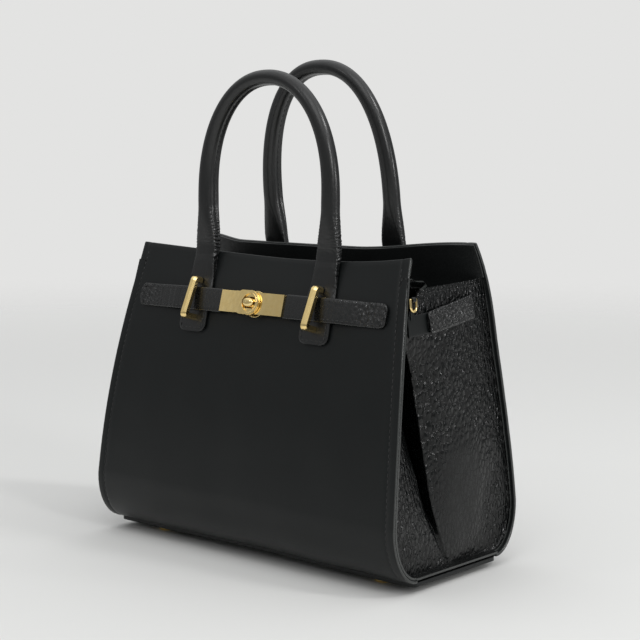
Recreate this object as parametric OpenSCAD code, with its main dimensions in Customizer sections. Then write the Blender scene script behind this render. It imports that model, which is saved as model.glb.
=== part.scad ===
// Structured leather top handle bag with a turn-lock belt, pleated side gussets,
// two rolled handles and a footed base. Millimetres, +Z up, the floor is z = 0.
// The front faces -Y. Heights named ..._z are measured above the panels' bottom edge.

/* [Body] */
// Width of the front and back panels along their bottom edge
base_w = 300; // [260:1:340]
// Width of the panels along their top edge
top_w = 264; // [240:1:290]
// Height of the front panel from its bottom edge to its top corners
panel_h = 220; // [205:1:245]
// How much higher the back panel stands than the front one
back_rise = 5; // [2:0.5:8]
// How far the top edges dip between their corners
top_dip = 6; // [3:0.5:8]
// Distance between the bottom edges of the two panels
base_depth = 94; // [88:1:104]
// Distance between the outer faces of the panels at the top corners
top_depth = 73; // [70:1:84]
// How far each panel swells out above its bottom edge
bend_d = 26; // [20:0.5:32]
// Height over which the panel swells out
bend_h = 38; // [30:1:46]
// Share of the lean that is straight, the rest is an even curve
belly_share = 0.45; // [0.3:0.05:0.6]
// Thickness of the front and back panels
panel_t = 2.4; // [2:0.1:3]
// Thickness of the lining
lining_t = 0.8; // [0.5:0.1:1.2]
// Height of the leather facing inside the top edges
facing_h = 28; // [22:1:36]

/* [Gussets] */
// How far the gussets' top edge lies below the front panel's top corners
gusset_drop = 20; // [16:1:28]
// Thickness of the gusset leather
gusset_t = 1.6; // [1.2:0.1:2]
// Width of the sewn flange that runs round each gusset
flange_w = 7; // [5:0.5:9]
// Deepest reach of the pleat into the bag
pleat_d = 40; // [30:1:46]
// How far the gusset leather bulges between its creases
bulge_d = 3; // [1:0.5:4]

/* [Base] */
// Thickness of the leather base plate under the bag
base_t = 3; // [2:0.5:4]
// How far the base plate stands out past the panels' bottom edges
base_lip = 8; // [5:0.5:10]
// How far the base plate stops short of the panels' sides
base_side_inset = 7; // [5:0.5:12]
// Radius of the base plate's corners
base_corner_r = 12; // [8:1:20]
// Thickness of the stiff board inside the base
board_t = 1.6; // [1.2:0.1:1.6]
// Height of a foot
foot_h = 5; // [4:0.5:8]
// Radius of a foot
foot_r = 6; // [5:0.5:8]
// Radius of a foot's shank
foot_shank_r = 1.6; // [1.2:0.1:2.2]
// Distance of the feet from the panels' sides
foot_side_inset = 40; // [28:1:50]
// Distance of the feet from the panels' bottom edges
foot_edge_inset = 12; // [11:1:19]

/* [Handles] */
// Distance of each handle leg from the bag's centre
leg_x = 60; // [54:1:64]
// Height of a handle's centreline above its root
handle_rise = 131; // [115:1:145]
// Height of the curved upper part of a handle
arch_h = 92; // [80:1:100]
// Thickness of the rolled leg above its root
leg_d = 14.4; // [13:0.1:16]
// Thickness of the rolled tube at the top of the arch
grip_d = 11.6; // [10:0.1:13]
// Width of the flat root of a leg
root_w = 21; // [19:0.5:22]
// Thickness of the flat root of a leg
root_t = 5.2; // [4.6:0.1:5.6]
// Height over which a root turns from flat to round
root_h = 32; // [26:1:36]
// Diameter of the filler cord inside a handle
core_d = 7; // [5:0.5:8]
// Inward lean of the front handle at rest, degrees
front_lean = 0; // [-2:0.5:4]
// Inward lean of the back handle at rest, degrees
back_lean = 7; // [0:0.5:8]
// Width of the stitched leather patches under the handles
patch_w = 27; // [25:0.5:30]
// Thickness of the patches
patch_t = 2.6; // [2.2:0.1:2.8]
// How far the patches' bottom edge lies below the front panel's top corners
patch_drop = 64; // [60:1:68]
// Corner radius at the bottom of a patch
patch_r = 5; // [3:0.5:8]

/* [Belt] */
// How far the belt's centreline lies below the front panel's top corners
belt_drop = 40; // [38:0.5:43]
// Width of the belt
belt_w = 17.5; // [16:0.5:18.5]
// Thickness of the belt leather
belt_t = 2.2; // [1.8:0.1:2.4]
// Distance of the belt's outer ends from the bag's centre
belt_end_x = 122; // [112:1:126]
// Distance of the belt's bending lines from the bag's centre
belt_hinge_x = 45.6; // [45:0.1:46]
// Height of the bridge's arms from the panel to the bar's outer face
bridge_h = 15; // [14:0.5:17]
// Length of the bridges along the panel
bridge_l = 33; // [31:0.5:35]
// Width of the bridges' metal
bridge_w = 6; // [5:0.5:7]
// Thickness of the bridges' metal
bridge_t = 4.6; // [4:0.1:5]
// Radius of the bridge's pins
bridge_pin_r = 1.4; // [1:0.1:1.8]

/* [Lock] */
// Distance of the clasp plates' outer ends from the lock's centre
plate_end_x = 31; // [29:0.5:34]
// Height of the clasp plates
plate_w = 16; // [15:0.5:16.5]
// Thickness of the clasp plates
plate_t = 1.2; // [1:0.1:1.4]
// Radius of the round end of the upper clasp plate
boss_r = 9.2; // [8.8:0.1:9.6]
// Radius of the lock's base plate on the panel
lock_r = 9.8; // [9.4:0.1:10.4]
// Radius of the lock's post
post_r = 3.2; // [3:0.1:3.4]
// Radius of the turn knob's shaft
shaft_r = 2; // [1.8:0.05:2.1]
// Running clearance round the turn knob's shaft
shaft_fit = 0.06; // [0.03:0.01:0.09]
// Length of the turn knob's bar
knob_l = 11; // [10:0.1:11.4]
// Width of the turn knob's bar
knob_w = 5; // [4.4:0.1:5.4]
// Height of the turn knob's bar
knob_h = 3; // [2.5:0.1:4]

/* [Sides] */
// How far the side straps' centreline at their slots lies below the front panel's top corners
strap_drop = 37; // [36:0.5:40]
// Width of the side straps
strap_w = 17.5; // [16:0.5:18.5]
// Thickness of the side straps
strap_t = 2; // [1.6:0.1:2.2]
// Downward slope of the side straps towards the front, degrees
strap_slope = 6; // [3:0.5:7]
// Thickness of the smooth tabs that the straps are sewn to
tab_t = 1.6; // [1.2:0.1:1.6]
// Outer width of a shoulder strap ring
ring_w = 8; // [7.6:0.1:8.2]
// Outer height of a shoulder strap ring
ring_h = 9.6; // [9:0.1:10]
// Thickness of the ring's wire
ring_wire = 1.8; // [1.6:0.1:2]
// Running clearance round the ring's bar
ring_fit = 0.08; // [0.03:0.01:0.09]

/* [Hidden] */
// Names of all the pieces

// How far a cutting solid runs past what it cuts
overrun = 1;
// Gap between pieces that move past each other or lie loosely together
clear = 0.3;
// Gap round fixed pins and inlaid pieces
snug = 0.05;
// Number of steps in the curved foot of a panel and in its leaning part
bend_steps = 8;
lean_steps = 14;
// Height of the panels' bottom edge above the floor
panel_z = foot_h + base_t;
// Heights of the gussets' edge, the belt, the patches' lower ends and the side straps
gusset_h = panel_h - gusset_drop;
belt_z = panel_h - belt_drop;
patch_z = panel_h - patch_drop;
strap_z = panel_h - strap_drop;
// Distances of the feet from the bag's centre, sideways and to front and back
foot_x = base_w/2 - foot_side_inset;
foot_y = base_depth/2 - foot_edge_inset;
// Half depth of the bag where it is widest, and at its top
widest_half = base_depth/2 + bend_d;
top_half = top_depth/2;
drop = widest_half - top_half;
lean_h = panel_h - bend_h;

// Colours
black = "#1b1c1c";
soft_black = "#26272a";
dark = "#121212";
gold = "#d8bd7c";
grey = "#5c5c58";

// Half width of the panels at a height
function half_w(z) = base_w/2 - (base_w - top_w)/2*z/panel_h;
// Share of the leaning part that lies below a height
function lean_at(z) = (z - bend_h)/lean_h;
// Outer half depth of the bag at a height
function half_depth(z) = z < bend_h
    ? base_depth/2 + bend_d*sqrt(1 - pow(1 - z/bend_h, 2))
    : widest_half - drop*(belly_share*lean_at(z) + (1 - belly_share)*pow(lean_at(z), 2));
// Slope of the leaning face, depth lost for each millimetre of height
function lean_slope(z) = drop*(belly_share + 2*(1 - belly_share)*lean_at(z))/lean_h;
// Height of a panel's top edge at a distance from the bag's centre
function top_z(x) = panel_h - top_dip*(1 - pow(abs(x)/(top_w/2), 4));

// Point [y, z] of the curved foot of a panel, moved inwards by t, at an angle from 0 to 90
function bend_point(a, t) = let(n = [bend_h*sin(a), -bend_d*cos(a)])
    [base_depth/2 + bend_d*sin(a), bend_h*(1 - cos(a))] - t*n/norm(n);
// Point [y, z] of the leaning part of a panel, moved inwards by t
function lean_point(z, t) = let(n = [1, lean_slope(z)]) [half_depth(z), z] - t*n/norm(n);
// Side outline of a panel's face from its bottom edge up to a height, moved inwards by t
function outline(t, z0, z1) = concat(
    z0 > 0 ? [] : [for (i = [0:bend_steps]) bend_point(90*i/bend_steps, t)],
    let(low = max(z0, bend_h))
        [for (i = [(z0 > 0 ? 0 : 1):lean_steps]) lean_point(low + (z1 - low)*i/lean_steps, t)]);
function reversed(list) = [for (i = [len(list) - 1:-1:0]) list[i]];
function mirrored(list) = [for (p = list) [-p[0], p[1]]];

// Sheet that follows the back panel's side outline, from offset t0 to t1, over the full width
module back_sheet(t0, t1, z0, z1)
    rotate([90, 0, 90])
        linear_extrude(base_w + 2*overrun, center = true)
            polygon(concat(outline(t0, z0, z1), reversed(outline(t1, z0, z1))));

// Outline of a panel seen from the front, with its dipping top edge
module panel_front(inset, z0, z1, dip) {
    steps = 12;
    top = [for (i = [0:steps]) let(x = half_w(z1)*(1 - 2*i/steps))
        [x*(half_w(z1) - inset)/half_w(z1), z1 - dip*(1 - pow(abs(x)/half_w(z1), 4))]];
    rotate([90, 0, 0])
        linear_extrude(2*(widest_half + overrun), center = true)
            polygon(concat([[-half_w(z0) + inset, z0], [half_w(z0) - inset, z0]], top));
}

// One piece of the back wall between two heights, from offset t0 to t1
module back_wall(t0, t1, z0, z1, inset, dip)
    translate([0, 0, panel_z])
        intersection() {
            back_sheet(t0, t1, z0, z1 + overrun);
            panel_front(inset, z0 - (z0 > 0 ? 0 : overrun), z1, dip);
        }

// Places children on the front panel's outer face at a height: x to the right, y up, z outwards
module on_front(z, rise = 0)
    translate([0, -half_depth(z), panel_z + z])
        rotate([90 - atan(lean_slope(z)), 0, 0]) children();

// Places children on the right side at a height: x to the back, y up, z outwards
module on_right(z)
    translate([half_w(z), 0, panel_z + z])
        rotate([0, -atan((base_w - top_w)/2/panel_h), 0])
            rotate([90, 0, 90]) children();

// Mirrors children to the left side when asked
module sided(left) mirror([left ? 1 : 0, 0, 0]) children();

// Holes for the pins of the bridges and the lock, through the front panel and its patches
module pin_holes(r) {
    for (side = [-1, 1])
        for (end = [-1, 1])
            on_front(belt_z)
                translate([side*leg_x, end*(bridge_l - bridge_t)/2, -panel_t - overrun])
                    cylinder(h = panel_t + patch_t + 2*overrun, r = r, $fn = 24);
    on_front(belt_z)
        for (side = [-1, 1])
            translate([side*lock_pin_x, 0, -panel_t - overrun])
                cylinder(h = panel_t + 2*overrun, r = r, $fn = 24);
}
lock_pin_x = lock_r*0.7;

module front_panel()
    color(black)
        difference() {
            mirror([0, 1, 0]) back_wall(0, panel_t, 0, panel_h, 0, top_dip);
            pin_holes(bridge_pin_r + snug);
        }

module back_panel() color(black) back_wall(0, panel_t, 0, panel_h + back_rise, 0, top_dip);

module front_lining()
    color(dark)
        mirror([0, 1, 0])
            back_wall(panel_t + snug, panel_t + snug + lining_t, floor_z, front_lining_top, side_inset, 0);

module back_lining()
    color(dark)
        back_wall(panel_t + snug, panel_t + snug + lining_t, floor_z, back_lining_top, side_inset, 0);

module front_facing()
    color(black)
        mirror([0, 1, 0])
            back_wall(panel_t + snug, panel_t + snug + facing_t, front_lining_top, panel_h - facing_drop,
                side_inset, top_dip);

module back_facing()
    color(black)
        back_wall(panel_t + snug, panel_t + snug + facing_t, back_lining_top,
            panel_h + back_rise - facing_drop, side_inset, top_dip);

facing_t = 1.2;
// How far the facing stops below the panel's top edge
facing_drop = 0.6;
front_lining_top = panel_h - facing_h;
back_lining_top = panel_h + back_rise - facing_h;
// How far lining and facing stop short of the panels' sides
side_inset = flange_w + gusset_t + 1;
// Height of the bag's inner floor, above which the wall lining starts
floor_z = bend_h*0.3;

// Pleated gussets. Heights, depths and places of the pleat's creases, as shares of the gusset's
// height, of pleat_d inwards, and of the inner half depth towards the back.
crease_height_shares = [0, 0.08, 0.3, 0.47, 0.65, 0.78, 0.92, 1];
front_crease_in_shares = [0, 0.1, 0.36, 0.58, 0.74, 0.72, 0.3, 0.16];
valley_in_shares = [0, 0.16, 0.66, 0.9, 1, 0.94, 0.58, 0.4];
back_crease_in_shares = [0, 0.08, 0.4, 0.54, 0.5, 0.34, -0.06, -0.12];
front_crease_y_shares = [-0.02, -0.08, -0.24, -0.3, -0.36, -0.52, -0.84, -0.9];
valley_y_shares = [0, -0.04, -0.16, -0.21, -0.27, -0.46, -0.78, -0.84];
back_crease_y_shares = [0.02, 0, -0.08, -0.12, -0.18, -0.4, -0.72, -0.78];
// How many shares of a bulge the leather takes at the quarter points between two creases
bulge_shares = [0, 0.75, 1, 0.75, 0];
gusset_rows = 22;

function share_at(table, f) =
    lookup(f, [for (i = [0:len(table) - 1]) [crease_height_shares[i], table[i]]]);

// Middle line of the sewn flange, which the pleated wall is hung between
gusset_edge = concat(
    [for (i = [0:6]) bend_point(90*i/6, panel_t + gusset_t/2 + snug)],
    [for (i = [1:gusset_rows - 7]) let(z = bend_h + (gusset_h - bend_h)*i/(gusset_rows - 7))
        lean_point(z, panel_t + gusset_t/2 + snug)]);

// Points of one stretch of the wall between two creases, bulging outwards
function stretch(a, b, bulge) = [for (i = [0:3]) a + (b - a)*i/4 - [bulge*bulge_shares[i], 0]];

// One row [inwards, y] of the pleated wall, front to back
function gusset_row(y, z) = let(
    f = (z - gusset_edge[0][1])/(gusset_h - gusset_edge[0][1]),
    front = [pleat_d*share_at(front_crease_in_shares, f), y*share_at(front_crease_y_shares, f)],
    valley = [pleat_d*share_at(valley_in_shares, f), y*share_at(valley_y_shares, f)],
    back = [pleat_d*share_at(back_crease_in_shares, f), y*share_at(back_crease_y_shares, f)],
    bulge = bulge_d*min(1, 4*f))
    concat(stretch([0, -y], front, bulge), [front, valley], stretch(back, [0, y], bulge), [[0, y]]);

// The pleated wall of the right gusset as one sheet of even thickness across the bag
module pleated_wall() {
    rows = [for (p = gusset_edge) gusset_row(p[0], p[1])];
    n = len(rows[0]);
    m = len(rows);
    face = [for (t = [0, gusset_t]) for (i = [0:m - 1]) let(z = gusset_edge[i][1]) for (p = rows[i])
        [half_w(z) - flange_w - p[0] - t, p[1], z]];
    at = function (k, i, j) k*m*n + i*n + j;
    quads = concat(
        [for (i = [0:m - 2]) for (j = [0:n - 2]) [at(0, i, j), at(0, i + 1, j), at(0, i + 1, j + 1), at(0, i, j + 1)]],
        [for (i = [0:m - 2]) for (j = [0:n - 2]) [at(1, i, j), at(1, i, j + 1), at(1, i + 1, j + 1), at(1, i + 1, j)]],
        [for (i = [0:m - 2]) [at(0, i, 0), at(1, i, 0), at(1, i + 1, 0), at(0, i + 1, 0)]],
        [for (i = [0:m - 2]) [at(0, i, n - 1), at(0, i + 1, n - 1), at(1, i + 1, n - 1), at(1, i, n - 1)]],
        [for (j = [0:n - 2]) [at(0, 0, j), at(0, 0, j + 1), at(1, 0, j + 1), at(1, 0, j)]],
        [for (j = [0:n - 2]) [at(0, m - 1, j), at(1, m - 1, j), at(1, m - 1, j + 1), at(0, m - 1, j + 1)]]);
    triangles = [for (q = quads) each [[q[0], q[1], q[2]], [q[0], q[2], q[3]]]];
    polyhedron(points = face, faces = triangles, convexity = 6);
}

// The flange that is sewn to the panels and the base, down one side, along the base and up again
module gusset_flange() {
    t0 = panel_t + snug;
    t1 = t0 + gusset_t;
    ring = concat(reversed(mirrored(outline(t0, 0, gusset_h + overrun))), outline(t0, 0, gusset_h + overrun),
        reversed(outline(t1, 0, gusset_h + overrun)), mirrored(outline(t1, 0, gusset_h + overrun)));
    intersection() {
        rotate([90, 0, 90]) linear_extrude(base_w) polygon(ring);
        difference() {
            panel_front(0, -overrun, gusset_h, 0);
            panel_front(flange_w + gusset_t, -2*overrun, gusset_h + overrun, 0);
        }
    }
}

// Slot that a side strap passes through
module strap_slot()
    on_right(strap_z)
        translate([slot_y, 0, -pleat_d/2])
            cube([strap_t + 2*clear, strap_w + 4*clear, pleat_d], center = true);
slot_y = half_depth(strap_z)*0.68;

module gusset(left)
    color(soft_black)
        sided(left)
            difference() {
                union() {
                    translate([0, 0, panel_z]) pleated_wall();
                    translate([0, 0, panel_z]) gusset_flange();
                }
                strap_slot();
            }
module left_gusset() gusset(true);
module right_gusset() gusset(false);

// Plate with round corners, standing on z = 0
module round_plate(w, d, r, h)
    union() {
        translate([-w/2 + r, -d/2, 0]) cube([w - 2*r, d, h]);
        translate([-w/2, -d/2 + r, 0]) cube([w, d - 2*r, h]);
        for (x = [-1, 1])
            for (y = [-1, 1])
                translate([x*(w/2 - r), y*(d/2 - r), 0]) cylinder(h = h, r = r, $fn = 48);
    }

// Holes for the shanks of the four feet
module foot_holes()
    for (x = [-foot_x, foot_x])
        for (y = [-foot_y, foot_y])
            translate([x, y, 0]) cylinder(h = panel_z + panel_h/2, r = foot_shank_r + snug, $fn = 32);

module base_panel()
    color(black)
        difference() {
            translate([0, 0, foot_h])
                round_plate(base_w - 2*base_side_inset, base_depth + 2*base_lip, base_corner_r, base_t);
            foot_holes();
        }

module base_board()
    color(grey)
        difference() {
            translate([0, 0, panel_z + board_t/2])
                cube([base_w - 2*side_inset, base_depth - 2*snug, board_t], center = true);
            foot_holes();
        }

module base_lining()
    color(dark)
        translate([0, 0, panel_z + panel_t + snug + lining_t/2])
            cube([base_w - 2*side_inset, base_depth - 2*snug, lining_t], center = true);

module foot(x, y)
    color(gold)
        translate([x, y, 0]) {
            rotate_extrude($fn = 64)
                polygon([[0, 0], [foot_r - foot_edge, 0], [foot_r, foot_edge], [foot_r, foot_h - foot_edge],
                    [foot_r - foot_edge/2, foot_h], [0, foot_h]]);
            translate([0, 0, foot_h - snug]) cylinder(h = base_t + board_t + washer_t, r = foot_shank_r, $fn = 32);
        }
foot_edge = 1;
washer_t = panel_t - board_t;

module foot_front_left() foot(-foot_x, -foot_y);
module foot_front_right() foot(foot_x, -foot_y);
module foot_back_left() foot(-foot_x, foot_y);
module foot_back_right() foot(foot_x, foot_y);

module foot_washers()
    color(gold)
        difference() {
            for (x = [-foot_x, foot_x])
                for (y = [-foot_y, foot_y])
                    translate([x, y, panel_z + board_t]) cylinder(h = washer_t, r = foot_r, $fn = 48);
            foot_holes();
        }

// Handles. A handle is drawn with its root axis on the X axis and its arch standing up.
arch_power_share = 2.15;
straight_h = handle_rise - arch_h;
root_steps = 6;
arch_steps = 26;
function arch_point(a) = [leg_x*sign(cos(a))*pow(abs(cos(a)), 2/arch_power_share),
    straight_h + arch_h*pow(abs(sin(a)), 2/arch_power_share)];
// Turns in degrees of the rounded end under the root axis
end_turns = [75, 50, 25];
right_leg = concat([for (a = end_turns) [leg_x, -root_t/2*sin(a)]],
    [for (i = [0:root_steps]) [leg_x, root_h*i/root_steps]]);
left_leg = [for (p = reversed(right_leg)) [-p[0], p[1]]];
arch_lift = 9;
arch = [for (i = [0:arch_steps]) arch_point(arch_lift + (180 - 2*arch_lift)*i/arch_steps)];
handle_path = concat(right_leg, arch, left_leg);

// Share of the way from the flat root to the round leg, eased at both ends
function rounding(z) = let(s = min(1, max(0, z)/root_h)) s*s*(3 - 2*s);
function tube_r(z) = (leg_d + (grip_d - leg_d)*min(1, max(0, z)/handle_rise))/2;
function section_w(z) = root_w/2 + (tube_r(z) - root_w/2)*rounding(z);
function section_t(z) = z < 0
    ? sqrt(pow(root_t/2, 2) - z*z)
    : root_t/2 + (tube_r(z) - root_t/2)*rounding(z);
// Power of the rounded section, higher is boxier
function section_power(z) = 3.5 - 1.5*rounding(z);

// Sweeps a rounded section along the path, slim keeps the tube round at one radius
module swept(path, sides, slim) {
    n = len(path);
    tangent = [for (i = [0:n - 1]) let(d = path[min(n - 1, i + 1)] - path[max(0, i - 1)]) d/norm(d)];
    points = [for (i = [0:n - 1]) for (k = [0:sides - 1]) let(
        a = 360*k/sides,
        z = path[i][1],
        w = slim > 0 ? slim : section_w(z),
        t = slim > 0 ? slim : section_t(z),
        e = slim > 0 ? 2 : section_power(z),
        u = w*sign(cos(a))*pow(abs(cos(a)), 2/e),
        v = t*sign(sin(a))*pow(abs(sin(a)), 2/e),
        across = [tangent[i][1], -tangent[i][0]])
        [path[i][0] + across[0]*u, v, path[i][1] + across[1]*u]];
    skin = [for (i = [0:n - 2]) for (k = [0:sides - 1]) let(
        a = i*sides + k, b = i*sides + (k + 1)%sides) each
        [[a, b + sides, b], [a, a + sides, b + sides]]];
    caps = [[for (k = [0:sides - 1]) k], [for (k = [sides - 1:-1:0]) (n - 1)*sides + k]];
    polyhedron(points = points, faces = concat(skin, caps), convexity = 8);
}

// The part of the path that the filler cord follows
core_path = [for (p = handle_path) if (p[1] > root_h*0.9) p];

module bare_handle()
    difference() {
        swept(handle_path, 16, 0);
        swept(core_path, 12, core_d/2 + snug);
        for (x = [-leg_x, leg_x])
            translate([x, 0, -root_t]) cylinder(h = root_t + root_h, r = channel_r, $fn = 24);
    }
// Radius of the narrow channel where the rolled leather closes below the cord
channel_r = 1;

// Height and depth of the root axis of the front handle, and how much higher the back one is
root_lift = 1.5;
root_z = top_z(leg_x) + root_lift;

// Places children on the root axis of the front handle, rise is how much higher the axis lies
module at_root(rise, lean)
    translate([0, -half_depth(root_z + rise) - clear - root_t/2, panel_z + root_z + rise])
        rotate([-lean, 0, 0]) children();

module front_handle() color(soft_black) at_root(0, front_lean) bare_handle();
module back_handle() color(soft_black) mirror([0, 1, 0]) at_root(back_rise, back_lean) bare_handle();
module front_handle_core() color(grey) at_root(0, front_lean) swept(core_path, 12, core_d/2);
module back_handle_core()
    color(grey) mirror([0, 1, 0]) at_root(back_rise, back_lean) swept(core_path, 12, core_d/2);

// Outline of a patch seen from the front: narrow at the handle's root, wide under the belt
module patch_outline(rise) {
    top = root_z + rise - root_t/2 - clear;
    shoulder = top - patch_w*0.7;
    polygon([[-patch_w/2, patch_z + patch_r], [patch_w/2, patch_z + patch_r], [patch_w/2, shoulder],
        [root_w/2, top], [-root_w/2, top], [-patch_w/2, shoulder]]);
    translate([-patch_w/2 + patch_r, patch_z]) square([patch_w - 2*patch_r, 2*patch_r]);
    for (x = [-1, 1])
        translate([x*(patch_w/2 - patch_r), patch_z + patch_r]) circle(r = patch_r, $fn = 48);
}

// A patch on the back panel, on the right
module bare_patch(rise)
    translate([0, 0, panel_z])
        intersection() {
            back_sheet(-patch_t, 0, patch_z - patch_r, panel_h + back_rise);
            rotate([90, 0, 0])
                linear_extrude(2*(widest_half + patch_t + overrun), center = true)
                    translate([leg_x, 0]) patch_outline(rise);
        }

module front_patch(left)
    color(soft_black)
        difference() {
            sided(left) mirror([0, 1, 0]) bare_patch(0);
            pin_holes(bridge_pin_r + snug);
        }
module front_left_patch() front_patch(true);
module front_right_patch() front_patch(false);
module back_left_patch() color(soft_black) sided(true) bare_patch(back_rise);
module back_right_patch() color(soft_black) bare_patch(back_rise);

// Bridges: staples that hold the belt down on the patches
module bridge(left)
    color(gold)
        sided(left)
            on_front(belt_z)
                translate([leg_x, 0, 0]) {
                    seat = patch_t + clear/2;
                    rotate([90, 0, 90])
                        linear_extrude(bridge_w, center = true)
                            difference() {
                                union() {
                                    translate([-bridge_l/2, seat]) square([bridge_l, bridge_h - seat - bridge_r]);
                                    translate([-bridge_l/2 + bridge_r, seat]) square([bridge_l - 2*bridge_r, bridge_h - seat]);
                                    for (y = [-1, 1])
                                        translate([y*(bridge_l/2 - bridge_r), bridge_h - bridge_r]) circle(r = bridge_r, $fn = 48);
                                }
                                translate([-bridge_l/2 + bridge_t, -overrun])
                                    square([bridge_l - 2*bridge_t, bridge_h - bridge_t + overrun]);
                            }
                    for (y = [-1, 1])
                        translate([0, y*(bridge_l - bridge_t)/2, -panel_t + clear])
                            cylinder(h = panel_t - clear + seat + overrun, r = bridge_pin_r, $fn = 24);
                }
bridge_r = 3.4;
module left_bridge() bridge(true);
module right_bridge() bridge(false);

// Belt. It lies on the patches and comes down to the panel at its outer ends.
belt_low = clear/2;
belt_high = patch_t + clear;
belt_steps = 10;
belt_slope_w = (belt_end_x - leg_x - patch_w/2)*0.7;
function belt_n(x) = let(s = min(1, max(0, (x - leg_x - patch_w/2)/belt_slope_w)))
    belt_high - (belt_high - belt_low)*s*s*(3 - 2*s);
belt_curve = concat([[belt_hinge_x + clear/2, belt_high]],
    [for (i = [0:belt_steps]) let(x = leg_x + patch_w/2 + (belt_end_x - leg_x - patch_w/2)*i/belt_steps) [x, belt_n(x)]]);

module belt_half(left)
    color(soft_black)
        sided(left)
            on_front(belt_z)
                rotate([90, 0, 0])
                    linear_extrude(belt_w, center = true)
                        polygon(concat(belt_curve, [for (p = reversed(belt_curve)) p + [0, belt_t]]));
module belt_left() belt_half(true);
module belt_right() belt_half(false);

// The inner ends of the belt, which bend up when the lock is opened
belt_tip_x = plate_end_x*0.7;
module belt_tongue(left)
    color(soft_black)
        sided(left)
            on_front(belt_z)
                translate([belt_tip_x, -belt_w/2 + tongue_trim, belt_high])
                    cube([belt_hinge_x - clear/2 - belt_tip_x, belt_w - 2*tongue_trim, belt_t]);
// The tongue is a little narrower than the belt, so that its plate wraps it
tongue_trim = (belt_w - plate_w)/2 + plate_t;
module belt_left_tongue() belt_tongue(true);
module belt_right_tongue() belt_tongue(false);

// Heights of the lock's layers above the panel
belt_top = belt_high + belt_t;
lower_plate_n = belt_top;
upper_plate_n = lower_plate_n + plate_t + clear;
boss_t = 1.2;
knob_n = upper_plate_n + plate_t + clear;
slot_l = knob_l + 1.6;
slot_w = 2*post_r + 2;

// Slot that a clasp plate slips over the knob with
module clasp_slot()
    translate([-slot_l/2, -slot_w/2, 0]) cube([slot_l, slot_w, knob_n + knob_h]);

// Metal sleeve crimped round the inner end of the belt, on the right
module clasp_sleeve()
    difference() {
        translate([belt_tip_x - plate_t, -plate_w/2, belt_high - plate_t])
            cube([plate_end_x - belt_tip_x + plate_t, plate_w, belt_t + 2*plate_t]);
        translate([belt_tip_x, -belt_w/2 + tongue_trim, belt_high])
            cube([plate_end_x - belt_tip_x + overrun, belt_w - 2*tongue_trim, belt_t]);
    }

module clasp_plate_right()
    color(gold)
        on_front(belt_z)
            difference() {
                union() {
                    clasp_sleeve();
                    translate([0, -plate_w/2, lower_plate_n]) cube([belt_tip_x, plate_w, plate_t]);
                    translate([0, 0, lower_plate_n]) cylinder(h = plate_t, r = plate_w/2, $fn = 96);
                }
                clasp_slot();
            }

module clasp_plate_left()
    color(gold)
        on_front(belt_z)
            difference() {
                union() {
                    mirror([1, 0, 0]) clasp_sleeve();
                    translate([-belt_tip_x, -plate_w/2, lower_plate_n])
                        cube([belt_tip_x - step_x + plate_t, plate_w, plate_t]);
                    translate([-step_x, -plate_w/2, lower_plate_n])
                        cube([plate_t, plate_w, plate_t + upper_plate_n - lower_plate_n]);
                    translate([-step_x, -plate_w/2, upper_plate_n]) cube([step_x, plate_w, plate_t]);
                    translate([0, 0, upper_plate_n]) cylinder(h = plate_t, r = boss_r, $fn = 96);
                }
                clasp_slot();
            }
// Where the upper plate steps up over the lower one
step_x = boss_r + plate_end_x*0.2;

module clasp_boss()
    color(gold)
        on_front(belt_z)
            translate([0, 0, upper_plate_n + plate_t])
                difference() {
                    cylinder(h = boss_t, r = boss_r - plate_t/2, $fn = 96);
                    translate([0, 0, -overrun]) cylinder(h = boss_t + 2*overrun, r = slot_l/2 + plate_t/2, $fn = 96);
                }

module lock_base()
    color(gold)
        on_front(belt_z)
            difference() {
                union() {
                    translate([0, 0, snug]) cylinder(h = plate_t, r = lock_r, $fn = 96);
                    translate([0, 0, plate_t]) cylinder(h = knob_n - clear - plate_t, r = post_r, $fn = 64);
                    for (x = [-lock_pin_x, lock_pin_x])
                        translate([x, 0, -panel_t + clear])
                            cylinder(h = panel_t, r = bridge_pin_r, $fn = 24);
                }
                translate([0, 0, plate_t]) cylinder(h = knob_n, r = shaft_r + shaft_fit, $fn = 64);
            }

module turn_knob()
    color(gold)
        on_front(belt_z) {
            translate([0, 0, plate_t + clear]) cylinder(h = knob_n + knob_h/2 - plate_t - clear, r = shaft_r, $fn = 64);
            translate([-knob_l/2 + knob_w/2, -knob_w/2, knob_n]) cube([knob_l - knob_w, knob_w, knob_h]);
            for (x = [-1, 1])
                translate([x*(knob_l - knob_w)/2, 0, knob_n]) cylinder(h = knob_h, r = knob_w/2, $fn = 48);
        }

// Side straps. The front end is sewn to a smooth tab, the back end goes in through a slot.
strap_front_y = -half_depth(strap_z)*0.46;
strap_n = strap_t;
module side_strap(left)
    color(soft_black)
        sided(left)
            on_right(strap_z) {
                length = slot_y - strap_front_y;
                translate([slot_y, 0, strap_n - strap_t])
                    rotate([0, 0, strap_slope])
                        translate([-length, -strap_w/2, 0]) cube([length, strap_w, strap_t]);
                translate([slot_y - strap_t/2, -strap_w/2, -strap_tail])
                    cube([strap_t, strap_w, strap_tail + strap_n]);
            }
strap_tail = flange_w + bulge_d;
module left_side_strap() side_strap(true);
module right_side_strap() side_strap(false);

// Smooth tab from inside the front seam to under the strap's end
tab_w = strap_w - 1.5;
tab_l = half_depth(strap_z)*0.6;
tab_front_y = -half_depth(strap_z) + (panel_t + gusset_t + clear)*1.05;
module strap_tab(left)
    color(black)
        sided(left)
            on_right(strap_z)
                translate([slot_y, 0, strap_n - strap_t - tab_t - clear/2])
                    rotate([0, 0, strap_slope])
                        translate([tab_front_y - slot_y, -tab_w/2, 0]) cube([tab_l, tab_w, tab_t]);
module left_strap_tab() strap_tab(true);
module right_strap_tab() strap_tab(false);

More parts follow.
